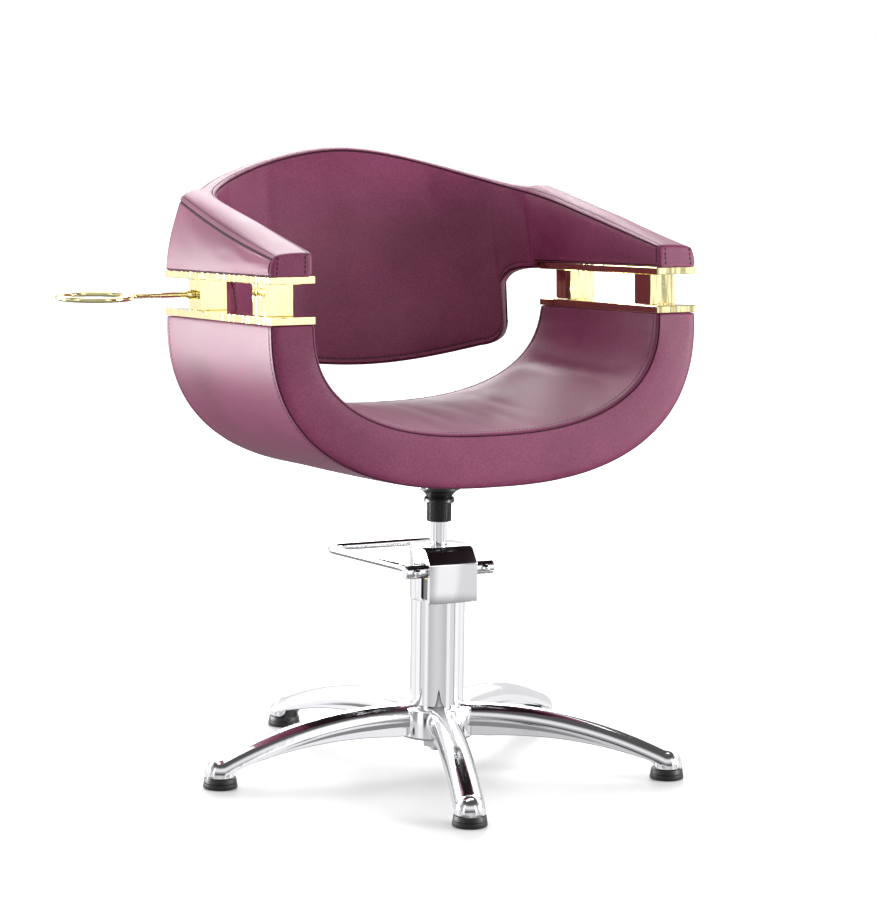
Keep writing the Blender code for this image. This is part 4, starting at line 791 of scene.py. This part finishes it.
def sideSteps(length, count, first, last):
    # distance, pull and name along a flat side, with closer points where a row of stitches is pulled in
    span = sewing["rowSpan"]
    low, high, head, tail = 0.0, length, [], []
    if first[0]:
        at = first[0]
        low = at + span
        head = [(at - span, 0.0, ""), (at, 1.0, first[1]), (low, 0.0, "")]
    if last[0]:
        at = length - last[0]
        high = at - span
        tail = [(high, 0.0, ""), (at, 1.0, last[1]), (at + span, 0.0, "")]
    return head + [(mix(low, high, k / count), 0.0, "") for k in range(1, count)] + tail


def shifted(place, way, distance):
    return place[0] + way[0] * distance, place[1] + way[1] * distance


def paddedRing(low, high, edges, sides, nick=1.0):
    # once round a section, four sides each with the corner after it: place, painted shade, name of a sewn
    # point
    ways = ((1, 0), (0, 1), (-1, 0), (0, -1))
    tips = ((high[0], low[1]), high, (low[0], high[1]), low)
    names, shapes = list(edges), list(edges.values())
    spots = []
    for k, (count, first, last, pulled) in enumerate(sides):
        ahead, inward = ways[k], ways[(k + 1) % 4]
        onward, across, seamAt = shapes[k][k % 2], shapes[k][1 - k % 2], shapes[k][2]
        start = shifted(tips[k - 1], ahead, shapes[k - 1][k % 2])
        end = shifted(tips[k], ahead, -onward)
        for distance, dip, name in sideSteps(math.dist(start, end), count, first, last):
            place = shifted(shifted(start, ahead, distance), inward, dip * pulled * sewing["rowDip"])
            # a pulled-in stitch row gets painted shade
            spots.append((place, dip * pulled * sewing["rowShade"], name))
        centre, deep = shifted(end, inward, across), shapes[k][1]
        for share, depth, dark in cornerSteps(deep, seamAt):
            a = share * math.pi / 2
            left = 1 - depth * nick * sewing["sink"] / deep   # what the seam leaves of the radius
            place = shifted(centre, inward, -across * math.cos(a) * left)
            place = shifted(place, ahead, onward * math.sin(a) * left)
            spots.append((place, dark * nick, names[k] if depth == 1.0 else ""))
    return zip(*spots)


seat = {
    "front": -0.1724, "rear": 0.237, "rearBevel": 0.045, "half": 0.3355, "wall": 0.066, "bottom": 0.003,
    "top": 0.2427, "shoulder": 0.2397, "frontTop": 0.081, "rearRise": 0.019, "crown": 0.012, "squareness": 2.5,
    "topEdge": 0.0035, "middle": 0.03, "stations": 108, "fine": 2000, "along": 36, "across": 9, "puff": 0.0020,
    # radius along and through the wall, and where on the corner the seam lies
    "edges": {"rearOuter": (0.0045, 0.0120, 0.2), "rearInner": (0.0070, 0.0070, 0.2),
              "frontInner": (0.0070, 0.0070, 0.8), "frontOuter": (0.0045, 0.0120, 0.8)},
    "row": 0.0050, "outerRow": 0.0070, "rowEnd": 2, "heldRings": 6, "plateHalf": 0.085, "plateTop": 0.02,
    # how far the underside is painted near-black as shade
    "underShadeHalf": 0.170, "underShadeFront": -0.145, "underShadeRear": 0.21,
}


def bucketPoint(t, v, share):
    s = seat
    run = (v - s["front"]) / (s["rear"] - s["front"])
    floor = s["frontTop"] + s["rearRise"] * run + s["crown"] * math.sin(math.pi * clamp(run))
    power = 2 / s["squareness"]
    side = -math.copysign(abs(math.cos(t)) ** power, math.cos(t))
    sag = math.sin(t) ** power
    outerX, outerW = s["half"] * side, s["shoulder"] - (s["shoulder"] - s["bottom"]) * sag
    innerX, innerW = (s["half"] - s["wall"]) * side, s["shoulder"] - (s["shoulder"] - floor) * sag
    lift = max(0.0, (innerW - floor) / (s["top"] - floor))
    drawnIn = s["rearBevel"] * run * lift * share
    return Vector((mix(outerX, innerX, share), v - drawnIn, mix(outerW, innerW, share)))


def bucketRing(t, inset, rise):
    # outside to the rear, over the rear face, inside to the front, down the front face
    s = seat
    thick = (bucketPoint(t, s["middle"], 1) - bucketPoint(t, s["middle"], 0)).length
    row, outerRow, plain = s["row"], s["outerRow"], (s["across"], noRow, noRow, 1.0)
    sides = [(s["along"], (outerRow, "rowFrontOuter"), (outerRow, "rowRearOuter"), 1.0), plain,
             (s["along"], (row, "rowRearInner"), (row, "rowFrontInner"), 1.0), plain]
    places, marks, names = paddedRing((s["front"] + inset, inset), (s["rear"] - inset, thick - inset),
                                      s["edges"], sides)
    return [bucketPoint(t, v, d / thick) + Vector((0, 0, rise)) for v, d in places], marks, names


def bucketTurns():
    # equal steps along the middle of the wall
    fine = spread(0, math.pi, seat["fine"] + 1)
    path = [bucketPoint(t, seat["middle"], 0.5) for t in fine]
    places = placesAlong(path, spread(0, 1, seat["stations"] + 1))
    return [mix(fine[k], fine[k + 1], share) for k, share in places]


def makeSeat():
    s = seat
    lift = s["top"] - s["shoulder"]
    ends = [(s["topEdge"], lift), (s["topEdge"] * 0.4, lift * 0.75), (s["topEdge"] * 0.08, lift * 0.2)]
    stations = [(0.0, inset, rise) for inset, rise in ends]
    stations += [(t, 0.0, 0.0) for t in bucketTurns()[1:-1]]
    stations += [(math.pi, inset, rise) for inset, rise in reversed(ends)]
    rings, darkness, sewn = [], [], set()
    for j, (t, inset, rise) in enumerate(stations):
        points, marks, names = bucketRing(t, inset, rise)
        rings.append(points)
        rear = names.index("rearOuter")
        held = min(j, len(stations) - 1 - j) < s["heldRings"]   # under the gold plates
        for i, p in enumerate(points):
            paintedUnderShade = i < rear and abs(p.x) < s["underShadeHalf"] and s["underShadeFront"] < p.y < s["underShadeRear"]
            darkness.append(1.0 if paintedUnderShade else marks[i])   # painted shade: the underside is painted near-black, as if in shadow
            overPlate = abs(p.x) < s["plateHalf"] and abs(p.y) < s["plateHalf"] and p.z < s["plateTop"]
            if names[i] or held or overPlate:
                sewn.add(j * len(names) + i)
    verts, tree = upholster("seatLeather", swept(rings), sewn, darkness, s["puff"], "seat_pad")
    spots = []
    for i, name in enumerate(names):
        if name.startswith("row"):
            reach = range(s["rowEnd"], len(rings) - s["rowEnd"])
            spots += stitchRow([verts[j * len(names) + i].co.copy() for j in reach], tree)
    stitchPiece("seatStitching", spots)


makeSeat()

back = {
    "innerHalf": 0.2725, "turn": 0.120, "depth": 0.2225, "squareness": 2.55, "thick": 0.027,
    "lean": math.radians(12.7), "armLean": math.radians(9.5), "top": 0.4890, "armTop": 0.341, "slope": 0.203,
    "slopeRun": 0.40, "armEnd": 0.215, "armFade": 0.055, "armSweep": 0.018, "armOver": 0.004, "low": 0.155,
    "shoulder": 0.180, "shieldHalf": 0.2215, "corner": 0.030, "fillet": 0.030, "sideSlope": 0.0025,
    "sideTurn": 0.06, "lip": 0.300, "base": 0.3099, "front": -0.1724, "outerHalf": 0.3355, "puff": 0.0022,
    "crown": 0.005, "backCrown": 0.002, "armCrown": 0.0010, "crownBow": 0.0090, "sideCrown": 0.003,
    "rollDrop": 0.0085, "rollBow": 0.0060, "tall": 18, "wide": 6, "under": 12, "turnSteps": 26, "armSteps": 30,
    # radius both ways, and where on the corner the seam lies
    "edges": {"topInner": (0.0042, 0.0042, 0.2), "topOuter": (0.0026, 0.0026, 0.78),
              "lowOuter": (0.0032, 0.0032, 0.22), "lowInner": (0.0042, 0.0042, 0.8)},
    "rowInner": 0.0021, "rowOuter": 0.0011, "rowLow": 0.0055,   # stitch rows from the edge
    "footShift": {"lowInner": 0.0063, "lowOuter": -0.0045},
    "frontOuter": 0.0045, "frontInner": 0.0065, "frontTop": 0.0050, "frontNick": 0.0058, "frontStart": 0.0105,
    "frontFirst": 0.0080, "frontSteps": (0.0038, 0.0024, 0.0014, 0.0006, 0.0001), "frontFull": 0.007,
    "rearEdge": ((0.0016, "lip", 0.86), (0.0, "base", 0.985), (-0.0012, "base", 1.0)),
    "plateTop": 0.3119, "plateRear": 0.24, "plateInner": 0.26, "nickRings": (4, 6), "bareArm": 0.02,
}


def squaredRound(share):
    # the other coordinate of a squared-off quarter round
    return (1 - share ** back["squareness"]) ** (1 / back["squareness"])


def lowerEdge():
    # from the middle outwards: hanging edge, corner, side, fillet under the arm
    b = back
    cornerX, cornerW = b["shieldHalf"] - b["corner"], b["shoulder"] + b["corner"]
    rise = b["shoulder"] - b["low"]
    points = [(x, b["low"] + rise * (x / cornerX) ** 2) for x in spread(0, cornerX, 22)[:-1]]
    points += arc(b["corner"], -math.pi / 2, -b["sideTurn"], 10, (cornerX, cornerW))
    middle = (b["shieldHalf"] + b["sideSlope"] + b["fillet"], b["lip"] - b["fillet"])
    return points + arc(b["fillet"], math.pi - b["sideTurn"], math.pi / 2, 10, middle)


def backStations():
    # x, v, lower edge, share of the wide arm, distance from the arm's front
    b = back
    plan = []
    for x, low in lowerEdge():
        plan.append((x, b["turn"] + b["depth"] * squaredRound(min(1.0, x / b["innerHalf"])), low))
    power = 2 / b["squareness"]
    first = math.acos(min(1.0, (plan[-1][0] / b["innerHalf"]) ** (1 / power)))
    for a in spread(first, 0.0, b["turnSteps"])[1:]:
        x, v = b["innerHalf"] * math.cos(a) ** power, b["turn"] + b["depth"] * math.sin(a) ** power
        plan.append((x, v, b["lip"]))
    behind = [spot for spot in plan if spot[1] > b["armEnd"]]
    stations = [(x, v, low, max(0.0, 1 - (v - b["armEnd"]) / b["armFade"]) ** 3, 1.0) for x, v, low in behind]
    for step, under, armShare in b["rearEdge"]:   # a crisp rear edge where the arm begins
        edge = b["armEnd"] + step
        x = b["innerHalf"] * squaredRound((edge - b["turn"]) / b["depth"])
        stations.append((x, edge, b[under], armShare, 1.0))
    stations += [(x, v, b["base"], 1.0, 1.0) for x, v, low in plan[len(behind):]]
    for v in spread(b["turn"], b["front"] + b["frontStart"], b["armSteps"])[1:]:
        stations.append((b["innerHalf"], v, b["base"], 1.0, 1.0))
    nick, wide = b["frontNick"], sewing["nick"]
    for ahead in (b["frontFirst"], nick + wide, nick, nick - wide, *b["frontSteps"]):
        stations.append((b["innerHalf"], b["front"] + ahead, b["base"], 1.0, ahead))
    return stations


def crestHeight(run, length):
    # straight rise along the arm, then an even curve up to the middle
    b = back
    if run <= b["slopeRun"]:
        return b["armTop"] + b["slope"] * run
    start = b["armTop"] + b["slope"] * b["slopeRun"]
    span = length - b["slopeRun"]
    t = (run - b["slopeRun"]) / span
    return start + (b["top"] - start) * ease(t) + (t ** 3 - 2 * t ** 2 + t) * span * b["slope"]


def roundedOff(radius, distance):
    return radius - math.sqrt(max(0.0, radius ** 2 - (radius - distance) ** 2)) if distance < radius else 0.0


def rollHeight(s, crest, drop, width):
    # above the straight line from seam to seam: a low crest, then a rounded fall to the outer seam
    turn = min(0.95, max(0.3, 1 - drop / width))
    fall = max(0.0, (s - turn) / (1 - turn))
    return crest * 4 * s * (1 - s) + drop * (s - 1 + math.sqrt(max(0.0, 1 - fall ** 2)))


def backRing(x, v, low, top, outward, armShare, ahead):
    # inner face upwards, over the top, outer face downwards, under the bottom
    b = back
    lean = math.tan(b["lean"]) * ease((v - b["front"]) / (b["turn"] - b["front"]))
    along = clamp((v - b["front"]) / (b["armEnd"] - b["front"]))
    drop = b["rollDrop"] + b["rollBow"] * math.sin(math.pi * along)
    armV = min(v, b["armEnd"] + b["armOver"])
    armLow = Vector((b["outerHalf"], armV + b["armSweep"] * ease(along), low))
    armTop = Vector((b["outerHalf"] - math.tan(b["armLean"]) * (top - drop - low), armV, top - drop))
    innerTop, innerLow = Vector((x, v, top)), Vector((x, v - lean * (top - low), low))
    outerTop = (innerTop + outward * b["thick"]).lerp(armTop, armShare)
    outerLow = (innerLow + outward * b["thick"]).lerp(armLow, armShare)
    height, width = (innerTop - innerLow).length, (outerTop - innerTop).length
    left, right = roundedOff(b["frontInner"], ahead), width - roundedOff(b["frontOuter"], ahead)
    roof = height - roundedOff(b["frontTop"], ahead)
    fromNick, pulled = ahead - b["frontNick"], 1 - armShare
    sides = [(b["tall"], (b["rowLow"], "rowLowInner"), noRow, pulled),
             (b["wide"], (b["rowInner"], "rowTopInner"), (b["rowOuter"], "rowTopOuter"), 1.0),
             (b["tall"], noRow, (b["rowLow"], "rowLowOuter"), pulled),
             (b["under"], noRow, noRow, 1.0)]
    nick = 0.0 if fromNick < -sewing["nick"] * 1.01 else 1.0
    places, marks, names = paddedRing((0.0, left), (roof, right), b["edges"], sides, nick)
    crown = b["crown"] * min(1.0, height / (b["top"] - b["low"]))
    sideCrown = b["sideCrown"] * ease((width - b["thick"]) / b["thick"]) * min(1.0, ahead / b["frontFull"])
    crest = mix(b["backCrown"], b["armCrown"] + b["crownBow"] * min(1.0, 2.2 * along), armShare)
    nearNick = abs(fromNick) < sewing["nick"] * 1.1
    nickDepth, nickShade = (1.0, 1.0) if abs(fromNick) < 1e-6 else (0.1, 0.5)
    topEdge = b["edges"]["topInner"][0]
    innerEnd = names.index("topInner") - 4   # a corner has four points on each side of its seam
    outerStart, outerEnd = names.index("topOuter"), names.index("lowOuter") - 1
    points, shades = [], []
    for k, ((up, across), mark) in enumerate(zip(places, marks)):
        s, t = across / width, up / height
        bulge = math.sin(math.pi * clamp(t))
        onInner, onOuter = k < innerEnd, outerStart < k < outerEnd
        if onInner:
            s -= crown * bulge / width
        if onOuter:
            s += sideCrown * bulge / width
        rolled = clamp((up - roof + topEdge) / topEdge)
        t += rolled * rollHeight(clamp(s), crest, drop * armShare, width) / height
        if nearNick and (onInner or onOuter):   # the side seams turn down the front edges, with shade painted into them
            s += nickDepth * sewing["sink"] / width * (1 if onInner else -1)
            mark = max(mark, nickShade)
        points.append(innerLow.lerp(outerLow, s).lerp(innerTop.lerp(outerTop, s), t))
        shades.append(mark)
    return points, shades, names


def fillArmFront(bm, row, names):
    # four-sided patch between the corners of the last ring
    corners = [names.index(name) for name in back["edges"]]
    edges = []
    for start, end in (corners[:2], corners[2:]):
        edges += [bm.edges.get((row[k], row[(k + 1) % len(row)])) for k in range(start, end)]
    bmesh.ops.grid_fill(bm, edges=edges, mat_nr=0, use_smooth=True, use_interp_simple=False)


def makeBack():
    b = back
    stations = backStations()
    path = [Vector(station[:2]) for station in stations]
    length = run = pathLength(path)
    half, shades = [], []
    for k, (x, v, low, armShare, ahead) in enumerate(stations):
        onward = path[min(k + 1, len(path) - 1)] - path[k - 1] if k else Vector((1.0, 0.0))
        outward = Vector((-onward.y, onward.x, 0)).normalized()
        points, marks, names = backRing(x, v, low, crestHeight(run, length), outward, armShare, ahead)
        half.append(points)
        shades.append(marks)
        run -= pathLength(path[k:k + 2])
    mirrored = [[Vector((-p.x, p.y, p.z)) for p in points] for points in half[1:]]
    rings = mirrored[::-1] + half
    darkness = [mark for marks in shades[:0:-1] + shades for mark in marks]
    count, last = len(names), len(rings) - 1
    sewn = set()
    for j, points in enumerate(rings):
        atNick = b["nickRings"][0] <= min(j, last - j) <= b["nickRings"][1]
        for i, p in enumerate(points):
            onPlate = p.z < b["plateTop"] and p.y < b["plateRear"] and abs(p.x) > b["plateInner"]
            side = i < names.index("topInner") or i > names.index("topOuter")
            if names[i] or onPlate or (atNick and side):
                sewn.add(j * count + i)
    bm = swept(rings, lambda mesh, row: fillArmFront(mesh, row, names))
    verts, tree = upholster("backLeather", bm, sewn, darkness, b["puff"], "back_pad")
    arm = sum(station[3] > b["bareArm"] for station in stations)
    spots = []
    for i, name in enumerate(names):
        line = [verts[j * count + i].co.copy() for j in range(last + 1)]
        if name.startswith("rowTop"):   # over the top and down both arm fronts
            lowName = name.replace("rowTop", "low")
            ends = []
            for j in (0, last):
                under = verts[j * count + names.index(lowName)].co.copy()
                under.x += math.copysign(1.0, under.x) * b["footShift"][lowName]
                ends.append([line[j].lerp(under, t) for t in spread(0, 1, 12)[1:]])
            spots += stitchRow(ends[0][::-1] + line + ends[1], tree)
        elif name.startswith("rowLow"):
            spots += stitchRow(line[arm:last - arm + 1], tree)
    stitchPiece("backStitching", spots)


makeBack()

ground = {"half": 14.0, "drop": 0.0004, "bounce": (0.30, 0.30, 0.30), "seen": (0.84, 0.84, 0.84),
          "near": 0.7, "far": 3.0, "nearGlow": 0.05, "farGlow": 1.0,
          "finish": {"Roughness": 0.45, "Specular IOR Level": 0.4, "Emission Strength": 0.9}}


def makeFloor():
    # pale to the eye, with less light thrown back up, and brighter far away
    g = ground
    bm = bmesh.new()
    bmesh.ops.create_grid(bm, x_segments=2, y_segments=2, size=g["half"])
    floor = meshPiece("floor", bm, Matrix.Translation((0, 0, -g["drop"])))
    material, tree, shader = newMaterial("paleFloor", g["finish"])
    seen = addNode(tree, "LightPath").outputs["Is Camera Ray"]
    away = addNode(tree, "VectorMath", {0: objectPlace(tree)}, operation="LENGTH").outputs["Value"]
    glow = remap(tree, away, g["near"], g["far"], g["nearGlow"], g["farGlow"])
    feed(tree, shader, {"Base Color": colourMix(tree, seen, g["bounce"], g["seen"]),
                        "Emission Color": product(tree, glow, seen)})
    floor.data.materials.append(material)
    floor.visible_glossy = False


# way round from the backdrop (0) to the camera (1) and brightness there, in three rings of the studio
studio = {
    "toCamera": (-0.437, -0.899, 0.0), "cool": 1.015,
    "middle": [(0.0, 0.86), (0.28, 0.88), (0.36, 0.50), (0.42, 0.95), (0.48, 0.95), (0.51, 0.30), (0.56, 0.30),
               (0.59, 1.20), (0.64, 1.20), (0.67, 0.35), (0.76, 0.40), (0.79, 1.50), (0.87, 1.50),
               (0.895, 0.50), (1.0, 0.48)],
    "upper": [(0.0, 2.5), (0.28, 2.5), (0.46, 0.65), (0.62, 0.42), (0.77, 0.50), (0.79, 1.50), (0.87, 1.50),
              (0.895, 0.95), (1.0, 0.95)],
    "lower": [(0.0, 0.70), (0.09, 0.80), (0.15, 1.05), (0.30, 1.05), (0.36, 0.86), (0.42, 1.10), (0.56, 1.10),
              (0.595, 0.80), (0.605, 0.30), (0.62, 0.30), (0.63, 0.80), (0.77, 0.80), (0.80, 1.02),
              (0.87, 1.02), (0.895, 0.60), (0.95, 0.62), (1.0, 0.74)],
    "beneath": (0.28, 0.28, 0.28), "above": (0.10, 0.10, 0.10),
    # heights over which each ring fades in
    "fades": {"upper": (0.28, 0.42), "lower": (0.03, -0.05), "beneath": (-0.31, -0.45), "above": (0.58, 0.82)},
    # the dim room behind the camera: its brightness by height, and where it fades out
    "room": [(-0.16, 0.30), (-0.08, 0.42), (-0.04, 0.10), (0.03, 0.05), (0.08, 0.05), (0.11, 0.34),
             (0.15, 0.34), (0.18, 0.07), (0.26, 0.10)],
    "roomLow": (-0.16, -0.07), "roomHigh": (0.26, 0.12), "roomSide": (0.88, 0.92),
}


def makeWorld():
    # bright backdrop, softer sides, and a greyer side where the camera stands; the camera itself sees white
    world = bpy.data.worlds.new("studio")
    scene.world = world
    world.use_nodes = True
    tree = world.node_tree
    coords = addNode(tree, "TexCoord").outputs["Generated"]
    level = addNode(tree, "VectorMath", {0: coords, 1: (1, 1, 0)}, operation="MULTIPLY").outputs["Vector"]
    unit = addNode(tree, "VectorMath", {0: level}, operation="NORMALIZE").outputs["Vector"]
    facing = addNode(tree, "VectorMath", {0: unit, 1: studio["toCamera"]}, operation="DOT_PRODUCT")
    wayRound = remap(tree, facing.outputs["Value"], -1.0, 1.0)
    height = addNode(tree, "SeparateXYZ", {0: coords}).outputs["Z"]

    def greys(share, stops):
        return colourRamp(tree, share, [(at, (value, value, value * studio["cool"])) for at, value in stops])

    def fade(value, span):
        return remap(tree, value, *span, kind="SMOOTHSTEP")

    colour = greys(wayRound, studio["middle"])
    for name, span in studio["fades"].items():
        ring = studio[name] if name in ("beneath", "above") else greys(wayRound, studio[name])
        colour = colourMix(tree, fade(height, span), colour, ring)
    dim = product(tree, fade(height, studio["roomLow"]), fade(height, studio["roomHigh"]))
    dim = product(tree, dim, fade(wayRound, studio["roomSide"]))
    low, high = studio["room"][0][0], studio["room"][-1][0]
    stops = [((z - low) / (high - low), value) for z, value in studio["room"]]
    colour = colourMix(tree, dim, colour, greys(remap(tree, height, low, high), stops))
    seen = addNode(tree, "LightPath").outputs["Is Camera Ray"]
    feed(tree, tree.nodes["Background"], {"Color": colourMix(tree, seen, colour, (1, 1, 1))})


# place, target, size, power, and the rays that don't see it
softboxes = {
    "topSoftbox": ((0.1, 0.6, 2.6), (0.1, 0, 0.5), (2.2, 1.8), 25, None),
    "rearSoftbox": ((0.50, 2.3, 2.2), (0.1, 0, 0.7), (2.2, 1.2), 56, "visible_diffuse"),     # sheen on arms
    "leftSoftbox": ((-2.0, 1.7, 0.45), (0.1, 0, 0.45), (1.8, 0.8), 120, "visible_diffuse"),  # and on sides
    "sideSoftbox": ((-2.7, 0.35, 0.60), (0.1, 0, 0.55), (1.2, 1.0), 54, "visible_glossy"),
    "rightSoftbox": ((2.4, -1.8, 0.85), (0.1, 0, 0.5), (1.2, 1.5), 86, None),
    "gapSoftbox": ((1.3, 2.3, 1.0), (0.1, 0, 0.5), (0.9, 0.7), 7, None),
}


def makeLights():
    for name, (where, target, size, power, unseenBy) in softboxes.items():
        lamp = bpy.data.lights.new(name, "AREA")
        lamp.shape = "RECTANGLE"
        lamp.size, lamp.size_y = size
        lamp.energy = power
        light = bpy.data.objects.new(name, lamp)
        scene.collection.objects.link(light)
        light.location = where
        light.rotation_euler = (Vector(target) - Vector(where)).to_track_quat("-Z", "Y").to_euler()
        if unseenBy:
            setattr(light, unseenBy, False)


photoCamera = {"turn": -25.9494, "tilt": 7.9615, "roll": 0.7561, "at": (-1.79995, -3.92064, 1.0812),
               "lens": 119.35, "sensor": 36.0, "clipEnd": 60.0}


def makeCamera():
    c = photoCamera
    turn, tilt, roll = (math.radians(c[key]) for key in ("turn", "tilt", "roll"))
    right = Vector((math.cos(turn), math.sin(turn), 0))
    backward = Vector((math.sin(turn) * math.cos(tilt), -math.cos(turn) * math.cos(tilt), math.sin(tilt)))
    up = backward.cross(right)
    x = right * math.cos(roll) + up * math.sin(roll)
    y = up * math.cos(roll) - right * math.sin(roll)
    lens = bpy.data.cameras.new("photoCamera")
    lens.lens, lens.sensor_width, lens.clip_end = c["lens"], c["sensor"], c["clipEnd"]
    camera = bpy.data.objects.new("photoCamera", lens)
    scene.collection.objects.link(camera)
    camera.matrix_world = Matrix.Translation(c["at"]) @ Matrix((x, y, backward)).transposed().to_4x4()
    scene.camera = camera


makeFloor()
makeWorld()
makeLights()
makeCamera()
scene.view_settings.view_transform = "Standard"
print("floor, light and camera set")
